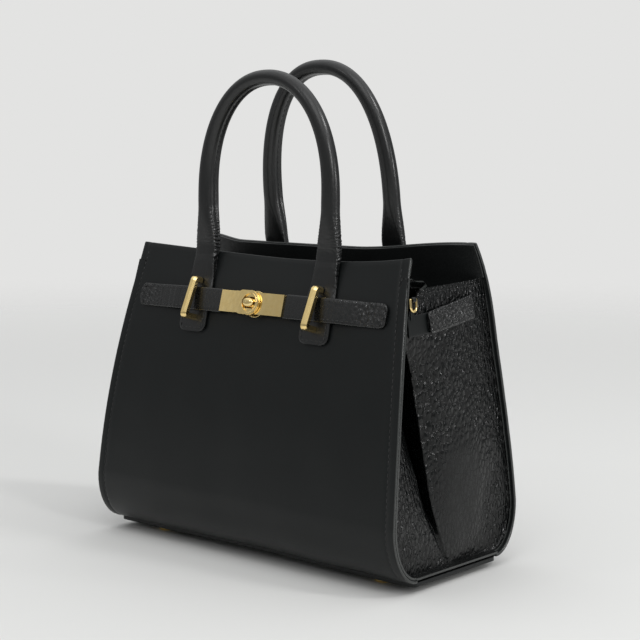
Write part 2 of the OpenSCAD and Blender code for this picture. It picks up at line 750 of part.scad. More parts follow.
// Shoulder strap rings, each hanging in a small leather loop that is sewn to the tab
ring_r = (ring_w - ring_wire)/2;
ring_z = strap_z + strap_w/2;
ring_y = tab_front_y + ring_w/2;
ring_n = ring_wire;
loop_wall = 1;
module at_ring() on_right(ring_z) translate([ring_y, 0, ring_n]) children();

module ring(left)
    color(gold)
        sided(left)
            at_ring() {
                leg = ring_h - ring_wire - ring_r;
                rotate([0, 90, 0]) cylinder(h = 2*ring_r, r = ring_wire/2, center = true, $fn = 32);
                for (x = [-ring_r, ring_r]) {
                    translate([x, 0, 0]) sphere(r = ring_wire/2, $fn = 32);
                    translate([x, 0, 0]) rotate([90, 0, 0]) cylinder(h = leg, r = ring_wire/2, $fn = 32);
                }
                translate([0, -leg, 0])
                    rotate([0, 0, 180])
                        rotate_extrude(angle = 180, $fn = 64) translate([ring_r, 0]) circle(r = ring_wire/2, $fn = 32);
            }
module left_ring() ring(true);
module right_ring() ring(false);

module ring_loop(left)
    color(black)
        sided(left)
            at_ring()
                difference() {
                    union() {
                        rotate([0, 90, 0]) cylinder(h = loop_w, r = ring_wire/2 + loop_wall, center = true, $fn = 48);
                        translate([-loop_w/2, -loop_reach, -ring_wire/2 - loop_wall])
                            cube([loop_w, loop_reach, loop_wall]);
                    }
                    rotate([0, 90, 0]) cylinder(h = loop_w + 2*overrun, r = ring_wire/2 + ring_fit, center = true, $fn = 48);
                }
loop_w = ring_w - 2*ring_wire - 2*clear;
// How far the loop's strip runs down from the ring's bar onto the tab
loop_reach = ring_h*1.4;
module left_ring_loop() ring_loop(true);
module right_ring_loop() ring_loop(false);

front_panel();
back_panel();
left_gusset();
right_gusset();
base_panel();
base_board();
front_lining();
back_lining();
base_lining();
front_facing();
back_facing();
foot_front_left();
foot_front_right();
foot_back_left();
foot_back_right();
foot_washers();
front_handle();
back_handle();
front_handle_core();
back_handle_core();
front_left_patch();
front_right_patch();
back_left_patch();
back_right_patch();
left_bridge();
right_bridge();
belt_left();
belt_right();
belt_left_tongue();
belt_right_tongue();
clasp_plate_left();
clasp_plate_right();
clasp_boss();
lock_base();
turn_knob();
left_side_strap();
right_side_strap();
left_strap_tab();
right_strap_tab();
left_ring_loop();
right_ring_loop();
left_ring();
right_ring();
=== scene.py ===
import math

import bmesh
import bpy
import numpy as np
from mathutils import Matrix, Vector, noise


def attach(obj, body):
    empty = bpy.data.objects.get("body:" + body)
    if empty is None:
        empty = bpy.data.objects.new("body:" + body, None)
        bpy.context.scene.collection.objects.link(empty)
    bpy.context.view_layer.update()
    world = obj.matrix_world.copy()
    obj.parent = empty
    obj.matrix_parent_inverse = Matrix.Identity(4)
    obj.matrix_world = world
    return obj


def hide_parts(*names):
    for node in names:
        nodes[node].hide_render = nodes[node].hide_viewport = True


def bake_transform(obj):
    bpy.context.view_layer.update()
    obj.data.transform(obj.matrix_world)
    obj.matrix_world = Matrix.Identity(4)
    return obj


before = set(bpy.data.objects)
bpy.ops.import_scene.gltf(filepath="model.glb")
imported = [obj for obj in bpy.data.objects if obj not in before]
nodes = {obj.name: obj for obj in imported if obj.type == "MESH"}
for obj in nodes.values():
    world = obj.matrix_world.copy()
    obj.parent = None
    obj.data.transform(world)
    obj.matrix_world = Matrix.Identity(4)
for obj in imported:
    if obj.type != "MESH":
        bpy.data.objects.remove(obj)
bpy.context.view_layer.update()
mm = 0.001
print("frame loaded")

# Materials


def linear(hexColour):
    parts = [int(hexColour[i:i + 2], 16)/255 for i in (1, 3, 5)]
    return [c/12.92 if c <= 0.04045 else ((c + 0.055)/1.055)**2.4 for c in parts] + [1.0]


def addNode(tree, kind, settings=None, links=None):
    node = tree.nodes.new(kind)
    for key, value in (settings or {}).items():
        if isinstance(key, int) or key in node.inputs:
            node.inputs[key].default_value = value
        else:
            setattr(node, key, value)
    for socket, source in (links or {}).items():
        tree.links.new(source, node.inputs[socket])
    return node


def newMaterial(name):
    material = bpy.data.materials.new(name)
    material.use_nodes = True
    tree = material.node_tree
    tree.nodes.clear()
    place = addNode(tree, "ShaderNodeTexCoord").outputs["Object"]
    return material, tree, place


def finish(tree, settings, links):
    shader = addNode(tree, "ShaderNodeBsdfPrincipled", settings, links)
    addNode(tree, "ShaderNodeOutputMaterial", links={"Surface": shader.outputs[0]})


# What all the leathers share: pores with their depth in mm, how unevenly the grain is pressed, and how
# the hide and its top coat bend light
hide = {"poreRough": 0.6, "poreDepth": 0.1, "pressFrom": 0.38, "pressTo": 0.62, "ior": 1.5, "coatIor": 1.45}


def leather(name, look):
    # Chrome tanned cowhide: pigment on the hide gives the black, the grain under its top coat the gloss
    material, tree, place = newMaterial(name)
    stretched = addNode(tree, "ShaderNodeMapping", {"Scale": look["stretch"]}, {"Vector": place}).outputs[0]
    warp = addNode(tree, "ShaderNodeTexNoise", {"Scale": 1/look["warpSize"]/mm, "Detail": 2.0},
                   {"Vector": place})
    bent = addNode(tree, "ShaderNodeMix", {"data_type": "VECTOR", 0: look["warp"]},
                   {4: stretched, 5: warp.outputs["Color"]}).outputs[1]
    domes = addNode(tree, "ShaderNodeTexVoronoi",
                    {"feature": "SMOOTH_F1", "Scale": 1/look["grain"]/mm, "Smoothness": look["soft"]},
                    {"Vector": bent}).outputs["Distance"]
    gaps = addNode(tree, "ShaderNodeTexVoronoi", {"feature": "DISTANCE_TO_EDGE", "Scale": 1/look["grain"]/mm},
                   {"Vector": bent}).outputs["Distance"]
    tops = addNode(tree, "ShaderNodeMapRange",
                   {"From Max": look["crease"], "interpolation_type": "SMOOTHSTEP"},
                   {"Value": gaps}).outputs[0]
    height = addNode(tree, "ShaderNodeMath", {"operation": "MULTIPLY_ADD", 1: -look["dome"]},
                     {0: domes, 2: tops}).outputs[0]
    pores = addNode(tree, "ShaderNodeTexNoise",
                    {"Scale": 1/look["pore"]/mm, "Detail": 3.0, "Roughness": hide["poreRough"]},
                    {"Vector": place}).outputs[0]
    patches = addNode(tree, "ShaderNodeTexNoise", {"Scale": 1/look["patch"]/mm, "Detail": 2.0},
                      {"Vector": place}).outputs[0]
    dark, light = linear(look["dark"]), linear(look["light"])
    # Lighter on the grain's tops and darker in the creases between them: painted highlight and painted shade
    colour = addNode(tree, "ShaderNodeMix", {"data_type": "RGBA", 6: dark, 7: light}, {0: tops}).outputs[2]
    wear = addNode(tree, "ShaderNodeMath",
                   {"operation": "MULTIPLY_ADD", 1: -look["roughSwing"], 2: look["rough"]},
                   {0: tops}).outputs[0]
    rough = addNode(tree, "ShaderNodeMath", {"operation": "MULTIPLY_ADD", 1: look["roughPatch"]},
                    {0: patches, 2: wear}).outputs[0]
    fine = addNode(tree, "ShaderNodeBump", {"Strength": look["poreBump"], "Distance": hide["poreDepth"]*mm},
                   {"Height": pores}).outputs[0]
    press = addNode(tree, "ShaderNodeMapRange",
                    {"From Min": hide["pressFrom"], "From Max": hide["pressTo"], "To Min": look["bumpLow"],
                     "To Max": look["bump"]}, {"Value": patches}).outputs[0]
    if "calm" in look:
        # Round one place the pebbles are stretched nearly flat
        calm = look["calm"]
        shift = [-c/r for c, r in zip(calm["centre"], calm["reach"])]
        shrink = [1/r/mm for r in calm["reach"]]
        near = addNode(tree, "ShaderNodeMapping", {"Location": shift, "Scale": shrink}, {"Vector": place})
        away = addNode(tree, "ShaderNodeVectorMath", {"operation": "LENGTH"}, {0: near.outputs[0]})
        keep = addNode(tree, "ShaderNodeMapRange",
                       {"From Min": calm["start"], "From Max": calm["end"], "To Min": calm["keep"],
                        "interpolation_type": "SMOOTHSTEP"}, {"Value": away.outputs["Value"]}).outputs[0]
        press = addNode(tree, "ShaderNodeMath", {"operation": "MULTIPLY"}, {0: press, 1: keep}).outputs[0]
    bump = addNode(tree, "ShaderNodeBump", {"Distance": look["depth"]*mm},
                   {"Height": height, "Normal": fine, "Strength": press}).outputs[0]
    finish(tree, {"IOR": hide["ior"], "Specular IOR Level": look["gloss"], "Coat Weight": look["coat"],
                  "Coat Roughness": look["coatRough"], "Coat IOR": hide["coatIor"]},
           {"Base Color": colour, "Roughness": rough, "Normal": bump})
    return material


# Smooth box calf. Its grain is about 0.4 mm, drawn at 1.1 mm because finer wouldn't show in the render
smoothCalf = leather("smoothBoxCalf", {
    "grain": 1.1, "stretch": (1, 1, 1), "warpSize": 3.0, "warp": 0.002, "soft": 0.6, "crease": 0.3,
    "dome": 0.5, "pore": 0.9, "patch": 45, "dark": "#0E1111", "light": "#121515", "rough": 0.36,
    "roughSwing": 0.06, "roughPatch": 0.06, "poreBump": 0.10, "bumpLow": 0.06, "bump": 0.14, "depth": 0.1,
    "gloss": 0.28, "coat": 0.0, "coatRough": 0.3})

# Pebbled leather, embossed with upright drops, glossy on their tops and dark between them: the tops are
# painted lighter and the creases darker, as highlight and shade. They are about 2.2 mm apart, drawn at 3.4 mm
# because finer ones run together in the render
pebbledCalf = leather("pebbledCalf", {
    "grain": 3.4, "stretch": (1, 1, 0.62), "warpSize": 6.0, "warp": 0.0018, "soft": 0.25, "crease": 0.28,
    "dome": 2.4, "pore": 1.2, "patch": 38, "dark": "#060707", "light": "#0C0E0E", "rough": 0.30,
    "roughSwing": 0.17, "roughPatch": 0.06, "poreBump": 0.04, "bumpLow": 0.5, "bump": 1.0, "depth": 0.36,
    "gloss": 0.3, "coat": 0.0, "coatRough": 0.16,
    "calm": {"centre": (0, 12, 62), "reach": (10000, 32, 62), "start": 0.4, "end": 1.3, "keep": 0.1}})

# The same hide on the belt: pressed nearly flat, with pebbles left standing in places
beltCalf = leather("beltCalf", {
    "grain": 3.0, "stretch": (1, 1, 0.7), "warpSize": 6.0, "warp": 0.0018, "soft": 0.3, "crease": 0.3,
    "dome": 2.2, "pore": 1.2, "patch": 26, "dark": "#070808", "light": "#0E1010", "rough": 0.29,
    "roughSwing": 0.14, "roughPatch": 0.06, "poreBump": 0.04, "bumpLow": 0.6, "bump": 1.0, "depth": 0.3,
    "gloss": 0.6, "coat": 0.1, "coatRough": 0.15,
    "calm": {"centre": (0, 0, 0), "reach": (100, 10000, 10000), "start": 0.9, "end": 1.08, "keep": 0.08}})

# Rolled round a cord the hide is pulled flat, so the sheen runs in clean lines
rolledCalf = leather("rolledCalf", {
    "grain": 3.0, "stretch": (1, 1, 0.6), "warpSize": 6.0, "warp": 0.0025, "soft": 0.6, "crease": 0.3,
    "dome": 0.8, "pore": 1.2, "patch": 30, "dark": "#0A0B0B", "light": "#0F1111", "rough": 0.35,
    "roughSwing": 0.07, "roughPatch": 0.06, "poreBump": 0.06, "bumpLow": 0.03, "bump": 0.14, "depth": 0.3,
    "gloss": 0.45, "coat": 0.3, "coatRough": 0.2})

# Facing leather inside the mouth, dry and unglazed
facingCalf = leather("facingCalf", {
    "grain": 1.6, "stretch": (1, 1, 1), "warpSize": 6.0, "warp": 0.0015, "soft": 0.5, "crease": 0.3,
    "dome": 0.8, "pore": 1.2, "patch": 38, "dark": "#151717", "light": "#1C1E1E", "rough": 0.55,
    "roughSwing": 0.1, "roughPatch": 0.06, "poreBump": 0.08, "bumpLow": 0.06, "bump": 0.22, "depth": 0.3,
    "gloss": 0.22, "coat": 0.0, "coatRough": 0.2})


# Edge colours lighter than the black leather beside them: a painted highlight along every rim that uses them
edgeHighlightLook = {"wave": 2.5, "dark": "#2C2E2D", "light": "#373938", "bump": 0.25, "depth": 0.2,
            "rough": 0.26, "ior": 1.49}


def edgePaint(look):
    # Acrylic edge paint, brushed on in coats and sanded: a smooth, slightly wavy gloss. Its greys, far
    # lighter than the black leather, are a painted highlight along the edges
    material, tree, place = newMaterial("acrylicEdgePaintHighlighted")
    waves = addNode(tree, "ShaderNodeTexNoise", {"Scale": 1/look["wave"]/mm, "Detail": 2.0},
                    {"Vector": place}).outputs[0]
    dark, light = linear(look["dark"]), linear(look["light"])
    colour = addNode(tree, "ShaderNodeMix", {"data_type": "RGBA", 6: dark, 7: light}, {0: waves}).outputs[2]
    bump = addNode(tree, "ShaderNodeBump", {"Strength": look["bump"], "Distance": look["depth"]*mm},
                   {"Height": waves}).outputs[0]
    finish(tree, {"Roughness": look["rough"], "IOR": look["ior"]}, {"Base Color": colour, "Normal": bump})
    return material


twillLook = {"rib": 1.375, "wobble": 0.4, "dark": "#0D0E0E", "light": "#171818", "bump": 0.4, "depth": 0.15,
             "rough": 0.85, "sheen": 0.1}


def liningCloth(look):
    # Cotton twill, woven: matt, with slanting ribs. They are 0.7 mm apart, drawn at 1.4 mm so that they show
    material, tree, place = newMaterial("cottonTwill")
    # A diagonal wave texture of scale 1 repeats 10*sqrt(3) times in 2*pi metres
    scale = 2*math.pi/10/math.sqrt(3)/look["rib"]/mm
    ribs = addNode(tree, "ShaderNodeTexWave",
                   {"bands_direction": "DIAGONAL", "Scale": scale, "Distortion": look["wobble"]},
                   {"Vector": place}).outputs["Fac"]
    dark, light = linear(look["dark"]), linear(look["light"])
    colour = addNode(tree, "ShaderNodeMix", {"data_type": "RGBA", 6: dark, 7: light}, {0: ribs}).outputs[2]
    bump = addNode(tree, "ShaderNodeBump", {"Strength": look["bump"], "Distance": look["depth"]*mm},
                   {"Height": ribs}).outputs[0]
    finish(tree, {"Roughness": look["rough"], "Sheen Weight": look["sheen"]},
           {"Base Color": colour, "Normal": bump})
    return material


goldLook = {"wave": 5.0, "mark": 0.6, "dark": "#F8D890", "light": "#FFE6A6", "rough": 0.08,
            "roughSwing": 0.08, "bump": 0.12, "depth": 0.25}


def goldPlate(look):
    # Pale gold electroplate on polished zinc: mirror bright, with faint polishing waves
    material, tree, place = newMaterial("goldPlatedZinc")
    waves = addNode(tree, "ShaderNodeTexNoise", {"Scale": 1/look["wave"]/mm, "Detail": 1.0},
                    {"Vector": place}).outputs[0]
    marks = addNode(tree, "ShaderNodeTexNoise", {"Scale": 1/look["mark"]/mm, "Detail": 3.0},
                    {"Vector": place}).outputs[0]
    dark, light = linear(look["dark"]), linear(look["light"])
    colour = addNode(tree, "ShaderNodeMix", {"data_type": "RGBA", 6: dark, 7: light}, {0: waves}).outputs[2]
    rough = addNode(tree, "ShaderNodeMath",
                    {"operation": "MULTIPLY_ADD", 1: look["roughSwing"], 2: look["rough"]},
                    {0: marks}).outputs[0]
    bump = addNode(tree, "ShaderNodeBump", {"Strength": look["bump"], "Distance": look["depth"]*mm},
                   {"Height": waves}).outputs[0]
    finish(tree, {"Metallic": 1.0}, {"Base Color": colour, "Roughness": rough, "Normal": bump})
    return material


def fibreStuff(name, look):
    # Anything made of fibres: a mottled colour and a fine, irregular nap
    material, tree, place = newMaterial(name)
    fibres = addNode(tree, "ShaderNodeTexNoise", {"Scale": 1/look["fibre"]/mm, "Detail": 4.0},
                     {"Vector": place}).outputs[0]
    dark, light = linear(look["dark"]), linear(look["light"])
    colour = addNode(tree, "ShaderNodeMix", {"data_type": "RGBA", 6: dark, 7: light}, {0: fibres}).outputs[2]
    bump = addNode(tree, "ShaderNodeBump", {"Strength": look["bump"], "Distance": look["depth"]*mm},
                   {"Height": fibres}).outputs[0]
    finish(tree, {"Roughness": look["rough"]}, {"Base Color": colour, "Normal": bump})
    return material


highlightedEdgePaint = edgePaint(edgeHighlightLook)
twill = liningCloth(twillLook)
gold = goldPlate(goldLook)

# Pressed fibre board: grey brown, matt and a little mottled
board = fibreStuff("pressedBoard", {
    "fibre": 1.2, "dark": "#5A554D", "light": "#6E685E", "bump": 0.4, "depth": 0.2, "rough": 0.9})

# Cotton cord, twisted: unbleached and matt, with loose fibres
cord = fibreStuff("twistedCord", {
    "fibre": 0.8, "dark": "#8C867A", "light": "#A8A294", "bump": 0.4, "depth": 0.2, "rough": 0.9})

# Polyester thread, twisted and waxed: black with a soft sheen
thread = fibreStuff("waxedThread", {
    "fibre": 0.4, "dark": "#161717", "light": "#232424", "bump": 0.4, "depth": 0.2, "rough": 0.55})
print("materials made")

# Mesh helpers


def newPiece(name, points, faces, materials):
    mesh = bpy.data.meshes.new(name)
    mesh.from_pydata((np.asarray(points, float)*mm).tolist(), [], faces)
    for material in materials:
        mesh.materials.append(material)
    mesh.polygons.foreach_set("use_smooth", [True]*len(mesh.polygons))
    mesh.update()
    piece = bpy.data.objects.new(name, mesh)
    bpy.context.scene.collection.objects.link(piece)
    return piece


def settle(piece, sharp=0):
    # Turns the modifiers into mesh and keeps edges over the angle crisp. On metal that is all of them
    graph = bpy.context.evaluated_depsgraph_get()
    mesh = bpy.data.meshes.new_from_object(piece.evaluated_get(graph))
    piece.modifiers.clear()
    piece.data = mesh
    mesh.polygons.foreach_set("use_smooth", [True]*len(mesh.polygons))
    mesh.set_sharp_from_angle(angle=math.radians(sharp))
    return piece


def addModifier(piece, kind, **settings):
    modifier = piece.modifiers.new(kind.lower(), kind)
    for key, value in settings.items():
        setattr(modifier, key, value)


# Facets of a rounded edge, and the corner in degrees from which a sheet's rim is rounded
rounding = {"facets": 3, "rimAngle": 60}


def roundEdges(piece, width, angle, harden=True):
    addModifier(piece, "BEVEL", width=width*mm, segments=rounding["facets"], limit_method="ANGLE",
                angle_limit=math.radians(angle), harden_normals=harden)


def fitPiece(piece, slotName, body, *replaced):
    # Gives a piece the CAD nodes that it stands for, by hiding them, and the body that it rides. The slot
    # name is not used
    if replaced:
        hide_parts(*replaced)
    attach(piece, body)


def gridFaces(rows, columns, start=0, closed=False):
    faces = []
    for i in range(rows - 1):
        for j in range(columns if closed else columns - 1):
            a, b = start + i*columns + j, start + i*columns + (j + 1) % columns
            faces.append((a, b, b + columns, a + columns))
    return faces


def sheetPiece(name, grid, thickness, materials, bevel, sharp=50, hole=None):
    # A sheet from a grid of points on its outer face, thickened away from the normal, with rounded edges.
    # The second material is its rim's
    grid = np.asarray(grid, float)
    rows, columns = grid.shape[:2]
    points, faces = grid.reshape(-1, 3), gridFaces(rows, columns)
    if hole:
        faces = [face for face in faces if not hole(points[list(face)].mean(axis=0))]
    piece = newPiece(name, points, faces, materials)
    addModifier(piece, "SOLIDIFY", thickness=thickness*mm, offset=-1, use_even_offset=False,
                material_offset_rim=1)
    if bevel:
        roundEdges(piece, bevel, rounding["rimAngle"], harden=False)
    return settle(piece, sharp)


def sweepFrames(path, across):
    # Width and thickness directions at each point of a path
    path, across = np.asarray(path, float), np.asarray(across, float)
    tangent = np.gradient(path, axis=0)
    tangent /= np.linalg.norm(tangent, axis=1)[:, None]
    across = across - (across*tangent).sum(1)[:, None]*tangent
    across /= np.linalg.norm(across, axis=1)[:, None]
    return path, across, np.cross(tangent, across)


def sweepPiece(name, path, across, sections, materials, sharp):
    # path: points; across: the section's width direction at each; sections: outlines as (wide, thick)
    path, across, up = sweepFrames(path, across)
    rings = [p + np.outer(s[:, 0], a) + np.outer(s[:, 1], u)
             for p, a, u, s in zip(path, across, up, sections)]
    sides, last = len(sections[0]), (len(sections) - 1)*len(sections[0])
    faces = gridFaces(len(rings), sides, closed=True)
    faces += [tuple(range(sides))[::-1], tuple(last + k for k in range(sides))]
    piece = newPiece(name, np.concatenate(rings), faces, materials)
    piece.data.set_sharp_from_angle(angle=math.radians(sharp))
    return piece


def oval(wide, thick, power, sides):
    # Rounded section of half width and half thickness, boxier with a higher power
    a = np.arange(sides)*2*math.pi/sides
    c, s = np.cos(a), np.sin(a)
    return np.stack([wide*np.sign(c)*np.abs(c)**(2/power), thick*np.sign(s)*np.abs(s)**(2/power)], axis=1)


def ease(t):
    t = min(1.0, max(0.0, t))
    return t*t*(3 - 2*t)


def between(a, b, share):
    return a + (b - a)*share


def rounded(points, cuts):
    # Cuts the corners of an open line again and again, its ends stay
    points = np.asarray(points, float)
    for _ in range(cuts):
        a, b = points[:-1], points[1:]
        cut = np.stack([0.75*a + 0.25*b, 0.25*a + 0.75*b], axis=1).reshape(-1, points.shape[1])
        points = np.concatenate([points[:1], cut[1:-1], points[-1:]])
    return points


def ripple(x, y, z, size, seed=0):
    return noise.noise(Vector((x/size + seed*7.3, y/size, z/size)))


def mirrored(points):
    return np.asarray(points, float)*(-1, 1, 1)


def dress(name, material):
    # Gives a CAD node its finish
    node = nodes[name]
    node.data.materials.clear()
    node.data.materials.append(material)


stitchLook = {"length": 3.0, "gap": 1.2, "radius": 0.34, "sunk": 0.12, "sides": 6, "tangentStep": 0.3,
              # along a stitch: the share of its length, then lift and thickness in radii
              "rings": ((0, -1, 0.6), (0.12, 0.2, 1), (0.5, 0.7, 1.1), (0.88, 0.2, 1), (1, -1, 0.6))}


def stitchRun(name, runs, body):
    # Thread stitches along lines on a surface, each a small bar with its ends tucked in
    look, points, faces = stitchLook, [], []
    pitch, sides, rings = look["length"] + look["gap"], look["sides"], look["rings"]
    for line, normals in runs:
        line, normals = np.asarray(line, float), np.asarray(normals, float)
        steps = np.concatenate([[0], np.cumsum(np.linalg.norm(np.diff(line, axis=0), axis=1))])
        length = steps[-1]

        def at(values, place):
            return np.array([np.interp(place, steps, values[:, c]) for c in range(3)])

        count = int(length//pitch)
        for k in range(count):
            first = len(points)
            start = (length - count*pitch)/2 + k*pitch + look["gap"]/2
            for share, lift, wide in rings:
                place = start + share*look["length"]
                n = at(normals, place)
                n /= np.linalg.norm(n)
                t = (at(line, min(length, place + look["tangentStep"]))
                     - at(line, max(0, place - look["tangentStep"])))
                side = np.cross(t/(np.linalg.norm(t) + 1e-9), n)
                p = at(line, place) + n*(look["radius"]*lift - look["sunk"])
                for a in range(sides):
                    turn = 2*math.pi*a/sides
                    points.append(p + look["radius"]*wide*(side*math.cos(turn) + n*math.sin(turn)))
            last = len(points) - sides
            faces += gridFaces(len(rings), sides, first, closed=True)
            faces += [tuple(first + a for a in range(sides))[::-1], tuple(last + a for a in range(sides))]
    fitPiece(newPiece(name, points, faces, [thread]), "grained_leather", body)


# The bag's shape

bag = {"baseWidth": 300, "topWidth": 264, "panelHeight": 220, "baseDepth": 94, "topDepth": 73,
       "bendDepth": 26, "bendHeight": 38, "bellyShare": 0.45, "panelThickness": 2.4, "edgeRound": 1.0,
       "lift": 8, "sideBulge": 3, "bulgeHeight": 200, "bottomArch": 1.2, "archReach": 104, "archFade": 70,
       # the handles' pull on the two walls, from one height up
       "frontPinch": 4, "backPinch": 2.6, "pinchFrom": 168, "pinchOver": 54,
       # slow waves in the leather, which die out towards the belt and the side seams
       "softness": 0.6, "waveLong": 62, "waveShort": 30, "calmFrom": 120, "calmOver": 28, "calmEdge": 18,
       # how far the back panel's side edges have spread, by height
       "flareHeights": [0, 90, 115, 130, 144, 158, 172, 187, 200, 210, 220, 228],
       "flareReach": [0, 0.2, 1, 2, 3, 4.6, 7, 9.2, 10.3, 10, 8.5, 6.5]}
# The sunk seam round each wall, with the edge standing up beside it
seam = {"inset": 7, "depth": 0.45, "half": 0.8, "ridgeInset": 3.4, "ridgeHalf": 2, "ridgeShare": 0.5,
        "reach": 20}
# The front's top edge sags most at "lowX", and the back's rises to its corners
mouth = {"frontHeight": 220.2, "dip": 6, "lowX": 20, "leftReach": 152, "rightReach": 112, "leftPower": 1.3,
         "rightPower": 3, "backHeight": 220.6, "rightRise": 7, "rightFrom": 25, "rightOver": 100,
         "leftRise": 4, "leftFrom": -95, "leftOver": 37}
widest = bag["baseDepth"]/2 + bag["bendDepth"]
drop = widest - bag["topDepth"]/2
leanHeight = bag["panelHeight"] - bag["bendHeight"]
sideSlope = (bag["baseWidth"] - bag["topWidth"])/2/bag["panelHeight"]


def halfWidth(z):
    # The sides swell a little between the base and the belt
    swell = bag["sideBulge"]*math.sin(math.pi*min(1, max(0, z/bag["bulgeHeight"])))
    return bag["baseWidth"]/2 - sideSlope*z + swell


def halfDepth(z):
    if z < bag["bendHeight"]:
        return bag["baseDepth"]/2 + bag["bendDepth"]*math.sqrt(max(0, 1 - (1 - z/bag["bendHeight"])**2))
    t = (z - bag["bendHeight"])/leanHeight
    return widest - drop*(bag["bellyShare"]*t + (1 - bag["bellyShare"])*t*t)


def lean(z):
    t = (z - bag["bendHeight"])/leanHeight
    return drop*(bag["bellyShare"] + 2*(1 - bag["bellyShare"])*t)/leanHeight


def sway(side, x, z):
    # Outward shift of a wall: the handles draw it in, and the gussets press the back's corners out
    across = min(1, abs(x)/halfWidth(z))
    pull = ease((z - bag["pinchFrom"])/bag["pinchOver"])*(1 - across**2)
    if side < 0:
        return -bag["frontPinch"]*pull
    return float(np.interp(z, bag["flareHeights"], bag["flareReach"]))*across**4 - bag["backPinch"]*pull


def topEdge(side, x):
    # Height of a wall's top edge
    if side < 0:
        half = "left" if x < mouth["lowX"] else "right"
        rise = (abs(x - mouth["lowX"])/mouth[half + "Reach"])**mouth[half + "Power"]
        return mouth["frontHeight"] - mouth["dip"]*(1 - rise)
    return (mouth["backHeight"] + mouth["rightRise"]*ease((x - mouth["rightFrom"])/mouth["rightOver"])
            + mouth["leftRise"]*ease((mouth["leftFrom"] - x)/mouth["leftOver"]))


def baseArch(x):
    # The bottom edges rise a little between the feet
    return bag["bottomArch"]*max(0, 1 - (x/bag["archReach"])**2)**2


def footRise(x, z):
    return baseArch(x)*(1 - ease(z/bag["archFade"]))


# Rows of a wall: up its curved foot, then up its leaning part
bendSteps, leanSteps = 12, 44
# Columns of a wall: close together at its edges, for the seam, and evenly spread between "middleInset"
columns = {"insets": [0, 1.4, 3.2, 5.2, 6.2, 7, 7.8, 8.8, 11, 15, 20], "middleInset": 24, "middle": 49}


def bendPoint(turn):
    # (depth, height) on the curved foot and the outward normal there
    n = np.array([bag["bendHeight"]*math.sin(turn), -bag["bendDepth"]*math.cos(turn)])
    return (bag["baseDepth"]/2 + bag["bendDepth"]*math.sin(turn), bag["bendHeight"]*(1 - math.cos(turn)),
            n/np.linalg.norm(n))


def leanPoint(z):
    n = np.array([1, lean(z)])
    return halfDepth(z), z, n/np.linalg.norm(n)


def columnPlaces():
    # Places across a wall as (share of the half width, inset from the edge)
    left = [(-1, inset) for inset in columns["insets"]]
    middle = [(c, columns["middleInset"]) for c in np.linspace(-1, 1, columns["middle"])]
    right = [(1, inset) for inset in reversed(columns["insets"])]
    return left + middle + right


def softWave(side, x, z):
    # Slow unevenness of a leather wall that has been filled and handled
    calm = 1 - ease((z - bag["calmFrom"])/bag["calmOver"])
    near = ease((halfWidth(z) - abs(x))/bag["calmEdge"])
    seed = 2 - side
    waves = ripple(x, 0, z, bag["waveLong"], seed) + 0.5*ripple(x, 3, z, bag["waveShort"], seed)
    return bag["softness"]*waves*calm*near


def wallPoint(side, x, row, inside):
    # The bag's place of a point that lies "inside" mm within a wall's outer face
    y, z, n = row
    push = softWave(side, x, z) - inside
    y, z = y + n[0]*push + sway(side, x, z), z + n[1]*push
    return x, side*y, z + footRise(x, z) + bag["lift"]


def skinPoint(side, place, step, inside, seamDepth=0.0):
    # side -1 front, 1 back
    share, inset = place
    if step <= bendSteps:
        row = bendPoint(math.pi/2*step/bendSteps)
        x = share*(halfWidth(row[1]) - inset)
    else:
        t = (step - bendSteps)/leanSteps
        x = share*(halfWidth(bag["bendHeight"] + leanHeight*t) - inset)
        row = leanPoint(bag["bendHeight"] + (topEdge(side, x) - bag["bendHeight"])*t)
    groove = 0
    if inset < seam["reach"]:
        sunk = math.exp(-((inset - seam["inset"])/seam["half"])**2)
        ridge = math.exp(-((inset - seam["ridgeInset"])/seam["ridgeHalf"])**2)
        groove = seamDepth*(sunk - seam["ridgeShare"]*ridge)
    return wallPoint(side, x, row, inside + groove)


def outwardGrid(side, rows):
    # Turned so that the faces look out of the bag
    grid = np.array(rows)
    return grid if side < 0 else grid[:, ::-1]


for side, word in ((-1, "front"), (1, "back")):
    rows = [[skinPoint(side, place, step, 0, seam["depth"]) for place in columnPlaces()]
            for step in range(bendSteps + leanSteps + 1)]
    sheet = sheetPiece(word + "Panel", outwardGrid(side, rows), bag["panelThickness"],
                       [smoothCalf, highlightedEdgePaint], bag["edgeRound"])
    fitPiece(sheet, "smooth_leather", "bag", word + "_panel")


# Cloth lines the walls to the facings' height. Above "stepFront" and "stepBack" the gussets end, and the
# facings run out to the walls' edges
lining = {"inside": 2.5, "sideInset": 9.6, "topInset": 1.0, "stepFront": 207.5, "stepBack": 200,
          "topGap": 0.8, "columns": 61, "rows": 24, "firstStep": 5,
          "cloth": {"low": 0, "high": 192, "thickness": 0.7, "bevel": 0},
          "facing": {"low": 191, "high": 219.2, "thickness": 1.2, "bevel": 0.4}}


def liningGrid(side, layer, toTop):
    wideFrom = lining["stepFront"] if side < 0 else lining["stepBack"]
    shares = np.linspace(-1, 1, lining["columns"])
    rows, low, high = [], layer["low"], layer["high"]
    if low < bag["bendHeight"]:
        rows = [[skinPoint(side, (share, lining["sideInset"]), step, lining["inside"]) for share in shares]
                for step in range(lining["firstStep"], bendSteps + 1)]
        low = bag["bendHeight"]
    for i in range(1, lining["rows"] + 1):
        z = low + (high - low)*i/lining["rows"]
        inset = lining["sideInset"] if z < wideFrom else lining["topInset"]
        row = []
        for x in shares*(halfWidth(z) - inset):
            top = topEdge(side, x) - lining["topGap"] if toTop else high
            row.append(wallPoint(side, x, leanPoint(low + (top - low)*i/lining["rows"]), lining["inside"]))
        rows.append(row)
    return outwardGrid(side, rows)


